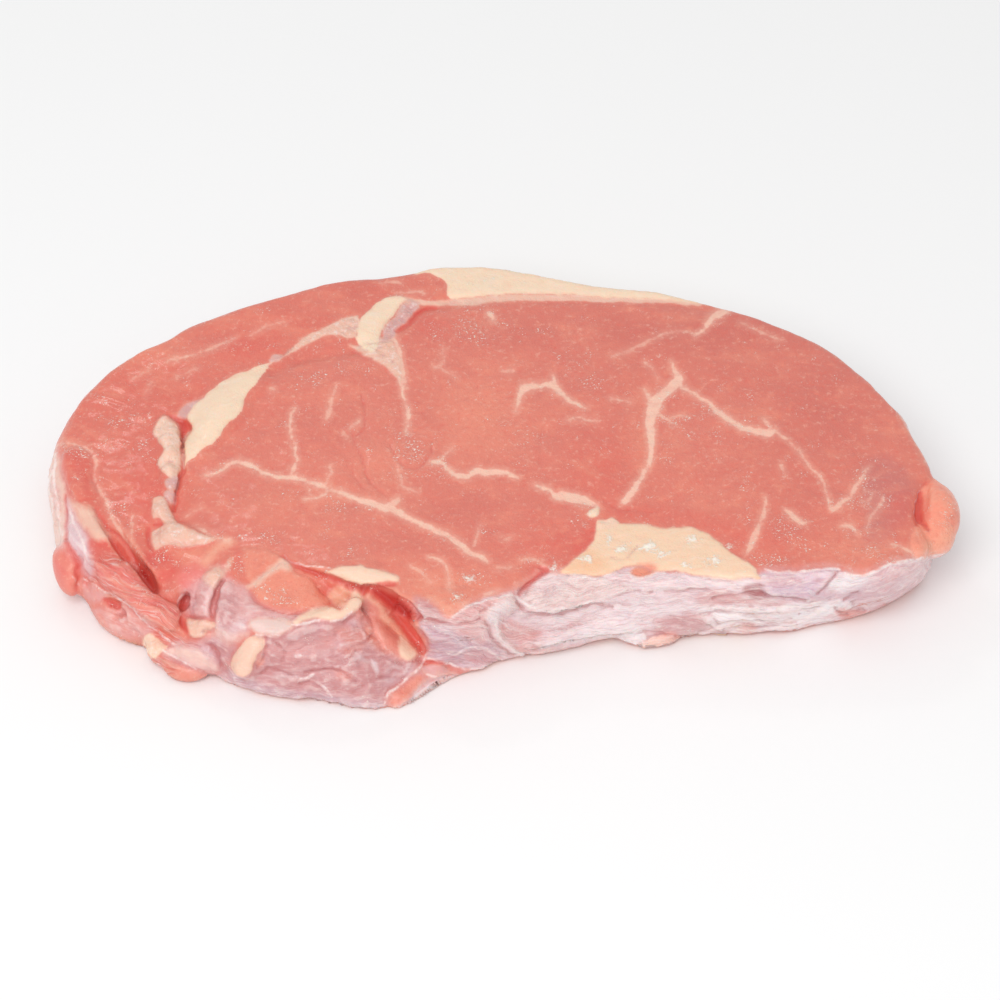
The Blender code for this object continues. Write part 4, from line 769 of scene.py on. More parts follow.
def rounded(text, closed, samples=5):
    """Smooth curve through the points of a text, with as many columns as they have."""
    ring = read_spots(text)
    if closed:
        before, after, beyond = (np.roll(ring, shift, axis=0) for shift in (1, -1, -2))
    else:
        padded = np.vstack([2 * ring[0] - ring[1], ring, 2 * ring[-1] - ring[-2]])
        before, ring, after, beyond = padded[:-3], padded[1:-2], padded[2:-1], padded[3:]
    curve = []
    for p0, p1, p2, p3 in zip(before, ring, after, beyond):
        for t in np.arange(samples) / samples:
            curve.append(0.5 * (2 * p1 + (p2 - p0) * t + (2 * p0 - 5 * p1 + 4 * p2 - p3) * t * t
                                + (3 * p1 - p0 - 3 * p2 + p3) * t ** 3))
    if not closed:
        curve.append(after[-1])
    return np.array(curve)


def near(seen, curve, reach):
    """Which places are inside a curve's box, widened by a reach."""
    low, high = curve[:, :2].min(axis=0) - reach, curve[:, :2].max(axis=0) + reach
    return np.flatnonzero(np.all((seen > low) & (seen < high), axis=1))


def run_away(spots, start, end):
    """How far along a straight run each spot's nearest point is, as a share, and how far away it is."""
    run = end - start
    offsets = spots - start
    along = np.clip(offsets @ run / max(run @ run, TINY_RUN), 0.0, 1.0)
    return along, np.linalg.norm(offsets - along[:, None] * run, axis=1)


def area_depth(seen, outline):
    """How far each place is inside an outline, in pixels, and below 0 how far outside it."""
    curve = rounded(outline, closed=True)
    chosen = near(seen, curve, AREA_REACH)
    spots = seen[chosen]
    nearest = np.full(len(spots), AREA_REACH)
    inside = np.zeros(len(spots), dtype=bool)
    for start, end in zip(curve, np.roll(curve, -1, axis=0)):
        nearest = np.minimum(nearest, run_away(spots, start, end)[1])
        across, down = end - start
        if down:
            crosses = (spots[:, 1] < start[1]) != (spots[:, 1] < end[1])
            inside ^= crosses & (spots[:, 0] < start[0] + (spots[:, 1] - start[1]) * across / down)
    depth = np.full(len(seen), AWAY)
    depth[chosen] = np.where(inside, nearest, -nearest)
    return depth


def line_depth(seen, line):
    """How far each place is inside a line of changing width, in pixels, and below 0 how far outside it."""
    curve = rounded(line, closed=False)
    chosen = near(seen, curve, LINE_REACH)
    best = np.full(len(chosen), -LINE_REACH)
    for start, end in zip(curve, curve[1:]):
        along, away = run_away(seen[chosen], start[:2], end[:2])
        best = np.maximum(best, start[2] + (end[2] - start[2]) * along - away)
    depth = np.full(len(seen), -LINE_REACH)
    depth[chosen] = best
    return depth


def area_sum(seen, outlines):
    """How far each place is inside the nearest of several outlines."""
    depth = np.full(len(seen), AWAY)
    for outline in outlines:
        depth = np.maximum(depth, area_depth(seen, outline))
    return depth


def line_sum(seen, table):
    """How far each place is inside the nearest of a table's lines."""
    depth = np.full(len(seen), AWAY)
    for *_, line in table.values():
        depth = np.maximum(depth, line_depth(seen, line))
    return depth


def stain_share(seen, x, y, reach_x, reach_y):
    """Soft round stain, 1 in its middle."""
    return np.exp(-((seen[:, 0] - x) / reach_x) ** 2 - ((seen[:, 1] - y) / reach_y) ** 2)


# ---------------------------------------------------------------------------------------------
# Lie of the fibres
# ---------------------------------------------------------------------------------------------
FLOW_CELL = 4.0             # pixels between the points of the fibre map
FLOW_CORNER = (0.0, 220.0)
FLOW_SHAPE = (136, 251)     # rows and columns of the fibre map
FLOW_NEAR = 300.0           # square pixels within which one lie rules
FLOW_LAST = 1.001           # how far short of the map's last row and column places are read


def follow(slope_x, slope_y):
    """The even field over the picture whose slopes come nearest to the ones asked for."""
    doubled_x = np.block([[slope_x, -slope_x[:, ::-1]], [slope_x[::-1], -slope_x[::-1, ::-1]]])
    doubled_y = np.block([[slope_y, slope_y[:, ::-1]], [-slope_y[::-1], -slope_y[::-1, ::-1]]])
    wave_x = np.fft.fftfreq(doubled_x.shape[1], FLOW_CELL)[None, :] * 2j * math.pi
    wave_y = np.fft.fftfreq(doubled_x.shape[0], FLOW_CELL)[:, None] * 2j * math.pi
    power = wave_x ** 2 + wave_y ** 2
    power[0, 0] = 1.0
    spread = (wave_x * np.fft.fft2(doubled_x) + wave_y * np.fft.fft2(doubled_y)) / power
    return np.fft.ifft2(spread).real[:slope_x.shape[0], :slope_x.shape[1]]


def flow_map():
    """Distances along and across the fibres, in pixels, over the picture."""
    rows, columns = np.mgrid[0:FLOW_SHAPE[0], 0:FLOW_SHAPE[1]] * FLOW_CELL
    across, down = columns + FLOW_CORNER[0], rows + FLOW_CORNER[1]
    total, turn = np.zeros_like(across), np.zeros_like(across)
    for x, y, degrees in FIBRE_LIES:
        weight = 1.0 / ((across - x) ** 2 + (down - y) ** 2 + FLOW_NEAR) ** 1.5
        total += weight
        turn += weight * math.radians(degrees)
    lie = turn / total
    return follow(np.cos(lie), np.sin(lie)), follow(-np.sin(lie), np.cos(lie))


def read_map(field, seen):
    """Value of a map of the picture at each pixel place, evened between its points."""
    x = np.clip((seen[:, 0] - FLOW_CORNER[0]) / FLOW_CELL, 0, FLOW_SHAPE[1] - FLOW_LAST)
    y = np.clip((seen[:, 1] - FLOW_CORNER[1]) / FLOW_CELL, 0, FLOW_SHAPE[0] - FLOW_LAST)
    column, row = x.astype(int), y.astype(int)
    right, below = x - column, y - row
    upper = field[row, column] * (1 - right) + field[row, column + 1] * right
    lower = field[row + 1, column] * (1 - right) + field[row + 1, column + 1] * right
    return upper * (1 - below) + lower * below


# ---------------------------------------------------------------------------------------------
# The mesh
# ---------------------------------------------------------------------------------------------
def read_vectors(item, name):
    """Positions ("co") or normals ("normal") of the vertices of an object's mesh."""
    values = np.empty(len(item.data.vertices) * 3)
    item.data.vertices.foreach_get(name, values)
    return values.reshape(-1, 3)


def read_points(item):
    """Vertex positions of an object's mesh, in millimetres."""
    return read_vectors(item, "co") / MM


def write_points(item, points):
    """Move an object's vertices to positions in millimetres."""
    item.data.vertices.foreach_set("co", (points * MM).ravel())
    item.data.update()


def evened(item, values, share, rounds):
    """Positions or normals drawn towards the middle of their neighbours', by a share of the way for each."""
    share = np.broadcast_to(share, len(values))
    ends = np.empty(len(item.data.edges) * 2, dtype=np.int32)
    item.data.edges.foreach_get("vertices", ends)
    ends = ends.reshape(-1, 2)
    ends = ends[(share[ends] > 0).any(axis=1)]
    chosen, local = np.unique(ends, return_inverse=True)
    first, second = local.reshape(-1, 2).T
    size = len(chosen)
    neighbours = np.bincount(first, minlength=size) + np.bincount(second, minlength=size)
    columns = [values[chosen, axis] for axis in range(3)]
    for _ in range(rounds):
        for column in columns:
            total = np.bincount(first, column[second], size) + np.bincount(second, column[first], size)
            column += (total / neighbours - column) * share[chosen]
    moved = values.copy()
    moved[chosen] = np.stack(columns, axis=1)
    return moved


def apply_modifiers(item):
    """Turn an object's modifiers into its mesh."""
    bpy.context.view_layer.update()
    evaluated = item.evaluated_get(bpy.context.evaluated_depsgraph_get())
    mesh = bpy.data.meshes.new_from_object(evaluated)
    item.modifiers.clear()
    item.data = mesh


def bumps(points, name):
    """Soft random relief between about -1 and 1, with the wavelengths and the seed of its name."""
    *lengths, seed = WAVES[name]
    places = points / np.array(lengths) + seed * SEED_STEP
    return np.array([noise.noise(Vector(place)) for place in places])


def waves(points, **strengths):
    """Several kinds of bumps together, each by its strength."""
    return sum(strength * bumps(points, name) for name, strength in strengths.items())


def copy_solid(sizes):
    """The solid's mesh, made fine and even."""
    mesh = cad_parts[NODE].data.copy()
    mesh.materials.clear()
    item = bpy.data.objects.new("steak", mesh)
    bpy.context.scene.collection.objects.link(item)
    weld = item.modifiers.new("weld", "WELD")
    weld.merge_threshold = WELD_REACH * MM
    rounding = item.modifiers.new("rounding", "SUBSURF")
    rounding.levels = rounding.render_levels = 1
    remesh = item.modifiers.new("remesh", "REMESH")
    remesh.mode = "VOXEL"
    remesh.voxel_size = sizes.grain
    smooth = item.modifiers.new("smooth", "SMOOTH")
    smooth.factor = EVEN_SHARE
    smooth.iterations = SMOOTH_ROUNDS
    apply_modifiers(item)
    return item


class Places:
    """Where the points of the mesh are, how they face, and where the photograph shows them."""

    def __init__(self, item):
        self.points = read_points(item)
        self.normals = read_vectors(item, "normal")
        back, _ = camera_axes()
        self.facing = smooth_step(*FACING_TURN, self.normals @ back)
        even = evened(item, self.normals, EVEN_SHARE, VISIBLE_ROUNDS)
        self.visible = smooth_step(*VISIBLE_TURN, even @ back / np.linalg.norm(even, axis=1))
        self.underside = smooth_step(*UNDERSIDE_TURN, -self.normals[:, 2])
        self.topside = smooth_step(*TOPSIDE_TURN, self.normals[:, 2])
        shown = self.points.copy()
        shown[self.underside > 0.0, 2] = CUT_FACE_HEIGHT
        self.seen = to_photo(shown)
        for name, reach in (("drift", DRIFT), ("jitter", JITTER)):
            ways = [bumps(self.points, name + way) for way in ("_across", "_down")]
            self.seen = self.seen + np.stack(ways, axis=1) * reach

    def fibre_lie(self):
        """Distances along and across the fibres, in pixels."""
        return [read_map(field, self.seen) for field in flow_map()]


def even_forms(item):
    """Even out the solid's own edges where the flesh is smooth."""
    places = Places(item)
    for strength, rounds, outline in EVENED.values():
        share = strength * smooth_step(*EVENED_EDGE, area_depth(places.seen, outline))
        write_points(item, evened(item, read_points(item), share * (1 - places.underside), rounds))


def knobbly_share(seen):
    """1 inside the knobbly patches, with an even edge."""
    return smooth_step(*KNOBBLY_EDGE, area_sum(seen, [PATCHES[name][-1] for name in KNOBBLY]))


def dome(depth, rim):
    """0 at an outline and 1 from a rim's width inside it, round between."""
    t = np.clip(depth / rim, 0.0, 1.0)
    return np.sqrt(1 - (1 - t) ** 2)


def drawn_relief(seen):
    """Height of what the photograph shows in relief."""
    rise = np.zeros(len(seen))
    for _, _, _, height, rim, outline in PATCHES.values():
        rise += height * dome(area_depth(seen, outline), rim)
    for name, (height, rim) in LIFTS.items():
        rise += height * dome(area_depth(seen, WASHES[name][-1]), rim)
    for table, way in ((CREVICES, -1), (CREASES, -1), (STRANDS, 1)):
        for height, *_, line in table.values():
            rise += way * height * smooth_step(*LINE_EDGE, line_depth(seen, line))
    for strength, line in VEINS.values():
        rise -= VEIN_DIP * strength * smooth_step(*VEIN_EDGE, line_depth(seen, line))
    return rise


def skin_relief(places, sizes, lie):
    """Height of the wrinkles, lumps, torn fibres and knobs on the side that the photograph shows."""
    seen, points = places.seen, places.points
    front = places.facing * (1 - places.underside)
    torn = smooth_step(*AREA_EDGE, area_sum(seen, TORN_FLESH.values()))
    skin = np.maximum(smooth_step(*AREA_EDGE, area_sum(seen, SKIN_AREAS.values())), torn)
    wrinkles = waves(lie, long_wrinkles=0.8, short_wrinkles=0.5) + 0.5
    for furrows in ("long_furrows", "short_furrows"):
        wrinkles -= FURROW_DEPTH * np.abs(bumps(lie, furrows))
    lumpy = smooth_step(*LUMPY_EDGE, area_sum(seen, [SKIN_AREAS[name] for name in LUMPY])) * front
    lumps = waves(points, lumps=1.0, small_lumps=0.4)
    fibres = bumps(lie, "torn_fibres")
    knobs = waves(points, knobs=1.0, small_knobs=0.5)
    return (sizes.wrinkles * wrinkles * front * skin + sizes.lumps * lumps * lumpy
            + sizes.torn_fibres * fibres * front * torn
            + sizes.knobs * knobs * places.facing * knobbly_share(seen)) / MM


def plain_relief(places, sizes, lie):
    """Height of the unevenness of the walls and the cut faces."""
    points = places.points
    wall = np.clip(1.0 - places.topside - places.underside, 0.0, 1.0)
    back_wall = wall * (1 - places.facing)
    level = np.maximum(places.topside, wall * WALL_LEVEL)
    uneven = waves(points, cut_waves=1.0, small_cut_waves=0.4) + waves(lie, cut_fibres=0.35)
    return (sizes.wall_waves * bumps(points, "wall_waves") * wall
            + sizes.wrinkles * bumps(points, "back_ripples") * back_wall
            + sizes.lumps * bumps(points, "back_lumps") * back_wall
            + sizes.cut_waves * uneven * level) / MM


def raise_relief(item, sizes):
    """Raise and press what the photograph shows in relief, and make the skin uneven."""
    places = Places(item)
    along, across = places.fibre_lie()
    across = across + LIE_DRIFT * bumps(places.points, "lie_drift")
    lie = np.stack([along, across, np.zeros_like(along)], axis=1)
    rise = drawn_relief(places.seen) * places.facing * sizes.relief
    rise += skin_relief(places, sizes, lie) + plain_relief(places, sizes, lie)
    normals = evened(item, places.normals, EVEN_SHARE, RISE_ROUNDS)
    normals /= np.linalg.norm(normals, axis=1)[:, None]
    raised = places.points + normals * (rise * (1 - places.underside))[:, None]
    raised[:, 2] = np.maximum(raised[:, 2], 0.0)
    write_points(item, raised)


def keep_hollows(item):
    """Keep how far each point lies below the skin round it, and below 0 how far above it."""
    points, normals = read_points(item), read_vectors(item, "normal")
    for name, rounds in HOLLOWS.items():
        drop = evened(item, points, EVEN_SHARE, rounds) - points
        store(item, name, np.sum(drop * normals, axis=1))


def thin_plain(item, sizes):
    """Leave fewer faces on the underside and wherever else nothing fine is drawn."""
    places = Places(item)
    outlines = [patch[-1] for patch in PATCHES.values()]
    drawn = area_sum(places.seen, [*SKIN_AREAS.values(), *TORN_FLESH.values(), *outlines])
    for table in (VEINS, CREVICES, CREASES, STRANDS):
        drawn = np.maximum(drawn, line_sum(places.seen, table))
    plain = (drawn < -PLAIN_MARGIN) | (places.facing <= TURNED_AWAY)
    group = item.vertex_groups.new(name="plain")
    group.add([int(index) for index in np.flatnonzero(plain)], 1.0, "REPLACE")
    triangles = sum(len(face.vertices) - 2 for face in item.data.polygons)
    thin = item.modifiers.new("thin", "DECIMATE")
    thin.decimate_type = "COLLAPSE"
    thin.vertex_group = group.name
    thin.ratio = min(1.0, sizes.most_faces / triangles)
    thin.use_collapse_triangulate = True
    apply_modifiers(item)
    item.vertex_groups.clear()


# ---------------------------------------------------------------------------------------------
# What each point is made of
# ---------------------------------------------------------------------------------------------
def store(item, name, values):
    """Keep one number for each point."""
    attribute = item.data.attributes.new(name, "FLOAT", "POINT")
    attribute.data.foreach_set("value", values.astype(np.float32))


def store_colour(item, name, colours):
    """Keep a colour for each point."""
    attribute = item.data.color_attributes.new(name, "FLOAT_COLOR", "POINT")
    rgba = np.ones((len(colours), 4), dtype=np.float32)
    rgba[:, :3] = colours
    attribute.data.foreach_set("color", rgba.ravel())


def tinted(colour, count):
    """One colour for each of a count of points."""
    return np.tile(np.array(colour), (count, 1))


def brush(layer, colour, share):
    """Lay a colour over a layer of colours, by a share for each point."""
    layer += (np.array(colour) - layer) * share[:, None]


def drawn_fat(places, colours):
    """Depth inside the fat that the photograph shows, its share and its tint."""
    count = len(places.seen)
    fat, fat_share, fat_tint = np.full(count, AWAY), np.zeros(count), tinted(colours.ivory_fat, count)
    for name, (tint, soft, strength, _, _, outline) in PATCHES.items():
        covered = places.visible > SHOWN
        if name in CUT_PATCHES:
            covered = covered | (places.underside > MOSTLY)
        depth = np.where(covered, area_depth(places.seen, outline), AWAY)
        share = smooth_step(-1.0, 1.0, depth / PIXELS_PER_MM / soft) * strength
        brush(fat_tint, getattr(colours, tint), np.where(fat_share < NO_FAT, depth > UNDER_FAT, share))
        fat_share = np.maximum(fat_share, share)
        fat = np.maximum(fat, depth)
    return fat, fat_share, fat_tint


def back_fat(places):
    """Depth inside the fat cover down the back, whose edge is ragged and slants."""
    points = places.points
    uneven = waves(points, cap_edge=5.0, small_cap_edge=1.5) + (points[:, 2] - CUT_FACE_HEIGHT)
    cap_reach = np.minimum(points[:, 0] - BACK_CAP[0], BACK_CAP[1] - points[:, 0]) + uneven
    depth = np.minimum(cap_reach, points[:, 1] - BACK_CAP[2]) * PIXELS_PER_MM
    return np.where((places.visible < BEHIND) & (places.underside < MOSTLY), depth, AWAY)


def skin_depth(places, wall, back_skin):
    """Depth inside the silverskin: as the photograph shows it, and on all the walls that it doesn't show."""
    points, visible = places.points, places.visible
    skin = area_sum(places.seen, SKIN_AREAS.values())
    end_foot = (points[:, 2] < END_FOOT[1]) | (area_depth(places.seen, WASHES["nub"][-1]) < 0.0)
    end_foot = end_foot & (points[:, 0] > END_FOOT[0]) & (wall > MOSTLY)
    skin = np.where(end_foot, np.maximum(skin, back_skin), skin)
    return np.where(places.underside > MOSTLY, AWAY, skin * visible + back_skin * (1 - visible))


def marbling(places):
    """Depth inside the veins, and the strength of the nearest one."""
    vein, power = np.full(len(places.seen), AWAY), np.zeros(len(places.seen))
    for strength, line in VEINS.values():
        depth = line_depth(places.seen, line)
        power[depth > vein] = strength
        vein = np.maximum(vein, depth)
    shown = np.maximum(places.visible, places.underside) > SHOWN
    return np.where(shown, vein, AWAY), power


def fibrous_share(places):
    """How clearly the fibres of the silverskin show, and below 0 along the seam behind which they turn."""
    fibrous = smooth_step(*FIBROUS_EDGE, area_sum(places.seen, [SKIN_AREAS[name] for name in FIBROUS]))
    seam = 1.0 - smooth_step(*SEAM_EDGE, np.abs(places.visible - BEHIND))
    return np.where(places.visible > BEHIND, fibrous, 1.0) * (1 - seam) - SEAM_DIP * seam


def crease_shade(seen):
    """How dark the furrows and folds are."""
    shade = np.zeros(len(seen))
    for _, strength, line in CREASES.values():
        shade = np.maximum(shade, strength * smooth_step(*SHADE_EDGE, line_depth(seen, line)))
    return shade


def spark_share(seen, sparks):
    """The strongest of some soft round sparks at each place."""
    return np.max([strength * stain_share(seen, *spot) for strength, *spot in sparks], axis=0)


def tint_layers(places, colours):
    """Colours of the flesh and of the silverskin, each with its stains, washes and hidden tints."""
    seen, visible = places.seen, places.visible
    layers = []
    for base, stains in (("lean", FLESH_STAINS), ("skin", SKIN_STAINS)):
        layer = tinted(getattr(colours, base), len(seen))
        for tint, strength, *spot in stains:
            share = np.clip(STAIN_GAIN * strength * stain_share(seen, *spot), 0.0, 1.0)
            brush(layer, getattr(colours, tint), share)
        layers.append(layer)
    for tint, strength, soft, outline in WASHES.values():
        share = strength * smooth_step(-soft, soft, area_depth(seen, outline)) * visible
        for layer in layers:
            brush(layer, getattr(colours, tint), share)
    for tint in HIDDEN_TINTS:
        share = smooth_step(*HIDDEN_EDGE, bumps(places.points, tint)) * HIDDEN_SHARE * (1 - visible)
        brush(layers[1], getattr(colours, tint), share)
    return layers


def paint_points(item, colours):
    """Work out what each point is made of, and keep it with the mesh."""
    places = Places(item)
    seen, visible, underside = places.seen, places.visible, places.underside
    wall = 1.0 - np.maximum(smooth_step(*WALL_TURN, places.normals[:, 2]), underside)
    back_skin = wall * BACK_SKIN[0] + BACK_SKIN[1]
    fat, fat_share, fat_tint = drawn_fat(places, colours)
    back_cap = back_fat(places)
    fat_share = np.maximum(fat_share, smooth_step(*BACK_CAP_EDGE, back_cap) * (1 - visible) * wall)
    fat = np.maximum(fat, np.minimum(back_cap, back_skin + BACK_FAT_OVER_SKIN))
    vein, vein_power = marbling(places)
    behind = visible < BEHIND
    along, across = places.fibre_lie()
    along = np.where(behind, places.points[:, 0] * PIXELS_PER_MM, along)
    across = np.where(behind & (underside < MOSTLY), places.points[:, 2] * PIXELS_PER_MM, across)
    depths = {
        "along": along, "across": across, "fat": fat, "vein": vein,
        "skin": skin_depth(places, wall, back_skin),
        "crevice": np.where(visible > BEHIND, line_sum(seen, CREVICES), AWAY),
        "strand": np.where(visible > BEHIND, line_sum(seen, STRANDS), AWAY),
        "torn": np.where(visible > BEHIND, area_sum(seen, TORN_FLESH.values()), AWAY),
    }
    for name, pixels in depths.items():
        store(item, name, pixels / PIXELS_PER_MM)
    store(item, "fat_share", fat_share)
    store(item, "vein_power", vein_power)
    store(item, "fibrous", fibrous_share(places))
    store(item, "shade", crease_shade(seen) * visible)
    store(item, "knobbly", knobbly_share(seen) * visible)
    store(item, "sparkle", spark_share(seen, SPARKLES) * visible)
    store(item, "shine", spark_share(seen, SHINES) * visible)
    flesh_tint, skin_tint = tint_layers(places, colours)
    store_colour(item, "flesh_tint", flesh_tint)
    store_colour(item, "skin_tint", skin_tint)
    store_colour(item, "fat_tint", fat_tint)


# ---------------------------------------------------------------------------------------------
# Materials
# ---------------------------------------------------------------------------------------------
class Wire:
    """A socket of a material's node tree, with sums on it written as Python."""

    def __init__(self, tree, socket):
        self.tree = tree
        self.socket = socket

    def node(self, kind, inputs, output=0, **settings):
        """Add a node to the same tree."""
        return add_node(self.tree, kind, inputs, output, **settings)

    def math(self, operation, first, second=0.0):
        """A Math node, or a Vector Math node where either side is a vector or a colour."""
        sides = [side.socket.type for side in (first, second) if isinstance(side, Wire)]
        if "VECTOR" in sides or "RGBA" in sides:
            pair = [(side,) * 3 if isinstance(side, (int, float)) else side for side in (first, second)]
            return self.node("ShaderNodeVectorMath", {0: pair[0], 1: pair[1]}, operation=operation)
        return self.node("ShaderNodeMath", {0: first, 1: second}, operation=operation)

    def __add__(self, other):
        """The sum of the two."""
        return self.math("ADD", self, other)

    def __radd__(self, other):
        """The sum, with the socket on the right."""
        return self.math("ADD", other, self)

    def __sub__(self, other):
        """The socket less the other."""
        return self.math("SUBTRACT", self, other)

    def __rsub__(self, other):
        """The other less the socket."""
        return self.math("SUBTRACT", other, self)

    def __mul__(self, other):
        """The product of the two."""
        return self.math("MULTIPLY", self, other)

    def __rmul__(self, other):
        """The product, with the socket on the right."""
        return self.math("MULTIPLY", other, self)

    def step(self, low, high):
        """0 below low, 1 above high and an even ease between; low may be the higher of the two."""
        return self.node("ShaderNodeMapRange", {"Value": self, "From Min": low, "From Max": high},
                         interpolation_type="SMOOTHSTEP")

    def larger(self, other):
        """The larger of the two."""
        return self.math("MAXIMUM", self, other)

    def size(self):
        """The value without its sign."""
        return self.math("ABSOLUTE", self)


def add_node(tree, kind, inputs, output=0, **settings):
    """Add a node, set it up, plug in its inputs and return one of its outputs."""
    node = tree.nodes.new(kind)
    for name, value in settings.items():
        setattr(node, name, value)
    for name, value in inputs.items():
        if isinstance(value, Wire):
            tree.links.new(value.socket, node.inputs[name])
        else:
            node.inputs[name].default_value = value
    return Wire(tree, node.outputs[output])


def mix(share, first, second):
    """A colour between two others."""
    sides = []
    for side in (first, second):
        sides.append(side if isinstance(side, Wire) else (*side, 1.0))
    return add_node(share.tree, "ShaderNodeMix", {0: share, 6: sides[0], 7: sides[1]}, 2, data_type="RGBA")


def coated(base, *coats):
    """A colour under coats of others, each given as its share and its colour."""
    for share, colour in coats:
        base = mix(share, base, colour)
    return base


class Look:
    """The random values and the kept numbers that every layer of the flesh is drawn with."""

    def __init__(self, tree):
        self.tree = tree
        self.where = add_node(tree, "ShaderNodeTexCoord", {}, "Object")
        self.broad = self.clouds(95.0, 3.0)
        self.middle = self.clouds(420.0, 3.0)
        self.fine = self.clouds(1100.0, 3.0)
        self.finest = self.clouds(2600.0, 2.0)
        self.along = self.kept("along")
        self.across = self.kept("across") + (self.clouds(130.0, 2.0, 0.5) - 0.5) * 4.0
        self.bundles = self.fibres(14.0, 4.0)
        self.broad_fibres = self.fibres(9.0, 2.2)
        self.thin_fibres = self.fibres(5.0, 0.8)
        self.hairs = self.fibres(3.0, 0.28, 1.0)
        self.threads = (self.fibres(11.0, 1.7, 3.0) - 0.5).size().step(0.035, 0.0)
        self.ragged = (self.middle - 0.5) * 0.9 + (self.fine - 0.5) * 0.8
        self.torn = self.kept("torn").step(-0.6, 1.2)
        self.fibrous = self.kept("fibrous") * 0.7 + 0.3
        self.hollow, self.wide_hollow = self.kept("hollow"), self.kept("wide_hollow")
        self.knobbly, self.sparkle, self.wet = self.kept("knobbly"), self.kept("sparkle"), self.kept("shine")

    def kept(self, name, output="Fac"):
        """A number or colour that the mesh keeps for each point."""
        return add_node(self.tree, "ShaderNodeAttribute", {}, output, attribute_name=name)

    def clouds(self, scale, detail, roughness=0.6, where=None):
        """Soft random value about 0.5; the scale is waves to the metre."""
        inputs = {"Vector": where or self.where, "Scale": scale, "Detail": detail, "Roughness": roughness}
        return add_node(self.tree, "ShaderNodeTexNoise", inputs)

    def fibres(self, length, width, detail=2.0):
        """Soft random value in streaks along the fibres."""
        lie = {"X": self.along * (1 / length), "Y": self.across * (1 / width)}
        return self.clouds(1.0, detail, where=add_node(self.tree, "ShaderNodeCombineXYZ", lie))


def lean_colour(look, colours):
    """The lean, with its streaks, its torn fibres and its marbling, and painted shade in hollows and painted
    highlight on humps.
    """
    torn, power = look.torn, look.kept("vein_power")
    vein = look.kept("vein") + look.ragged * 0.75
    core = vein.step(-0.24, 0.26) * power * (look.middle.step(0.32, 0.56) * 0.25 + 0.75)
    return coated(
        look.kept("flesh_tint", "Color"),
        (look.broad.step(0.50, 0.78) * 0.45, colours.orange_lean),
        (look.broad.step(0.50, 0.25) * 0.40, colours.dusk_lean),
        (look.bundles.step(0.52, 0.75) * 0.40, colours.orange_lean),
        (look.bundles.step(0.48, 0.26) * 0.35, colours.dusk_lean),
        (look.middle.step(0.52, 0.80) * 0.45, colours.orange_lean),
        (look.middle.step(0.48, 0.22) * 0.40, colours.dusk_lean),
        (look.fine.step(0.54, 0.78) * 0.40, colours.vein),
        (look.fine.step(0.46, 0.24) * 0.35, colours.red_lean),
        (torn * look.thin_fibres.step(0.50, 0.70) * 0.35, colours.peach_skin),
        (torn * look.thin_fibres.step(0.50, 0.32) * 0.60, colours.red_lean),
        (torn * look.hairs.step(0.55, 0.70) * 0.40, colours.strand),
        (vein.step(-1.3, 0.0) * power * 0.28, colours.vein),
        (core, colours.vein),
        # painted shade and highlight: redder in hollows, peach on humps
        (look.hollow.step(0.02, 0.14) * 0.35, colours.red_lean),
        (look.hollow.step(-0.03, -0.16) * 0.20, colours.peach_fat),
    )


def skin_colour(look, colours):
    """The silverskin, with its fibres, hairs and threads, and painted shade in hollows and painted highlight
    on humps.
    """
    fibrous = look.fibrous
    return coated(
        look.kept("skin_tint", "Color"),
        (look.broad_fibres.step(0.52, 0.76) * 0.25, colours.white_skin),
        (look.broad_fibres.step(0.48, 0.26) * 0.30, colours.rosy_skin),
        (look.broad.step(0.48, 0.30) * 0.30, colours.lilac_skin),
        (look.thin_fibres.step(0.50, 0.74) * fibrous * 0.34, colours.strand),
        (look.thin_fibres.step(0.50, 0.26) * fibrous * 0.32, colours.mauve_skin),
        (look.hairs.step(0.52, 0.70) * fibrous * 0.34, colours.strand),
        (look.hairs.step(0.48, 0.30) * fibrous * 0.26, colours.mauve_skin),
        (look.threads * look.middle.step(0.46, 0.66) * fibrous * 0.55, colours.strand),
        (look.fine.step(0.52, 0.76) * 0.20, colours.strand),
        (look.fine.step(0.48, 0.26) * 0.20, colours.mauve_skin),
        # painted shade in hollows and painted highlight on humps
        (look.hollow.step(0.02, 0.16) * 0.35, colours.crease),
        (look.hollow.step(-0.02, -0.14) * 0.30, colours.strand),
    )


def fat_colour(look, fat_depth, colours):
    """The fat and the tendon, peach at their thin edges, with painted shade in their hollows."""
    return coated(
        look.kept("fat_tint", "Color"),
        (look.middle.step(0.5, 0.8) * 0.30, colours.pale_fat),
        (look.middle.step(0.45, 0.25) * 0.20, colours.amber_fat),
        (fat_depth.step(0.6, -0.1) * 0.30, colours.peach_fat),
        (look.thin_fibres.step(0.52, 0.74) * 0.18, colours.strand),
        (look.thin_fibres.step(0.48, 0.28) * 0.18, colours.peach_fat),
        (look.knobbly * look.fine.step(0.50, 0.72) * 0.55, colours.strand),
        (look.knobbly * look.fine.step(0.47, 0.30) * 0.40, colours.peach_fat),
        # painted shade: mauve in the hollows of the fat
        (look.hollow.step(0.02, 0.15) * 0.40, colours.mauve_skin),
    )


def line_coats(look, colours):
    """The strands, the painted shade in the furrows and the red of the crevices, which is partly painted
    shade, as coats.
    """
    strand = (look.kept("strand") + look.ragged * 0.35).step(-0.20, 0.18)
    shade = look.kept("shade") * (0.5 + (look.middle - 0.5) * 1.6 + (look.fine - 0.5) * 0.8)
    crevice = look.kept("crevice") + look.ragged * 0.4
    return (
        (strand * look.middle.step(0.28, 0.58) * 0.80, colours.strand),
        (shade.step(0.0, 1.0), colours.crease),
        # painted shade: the crevices reddened, partly the flesh's own red and partly shade
        (crevice.step(-0.6, 0.2) * 0.45, colours.red_lean),
        (crevice.step(-0.2, 1.1) * 0.85, colours.deep_lean),
    )


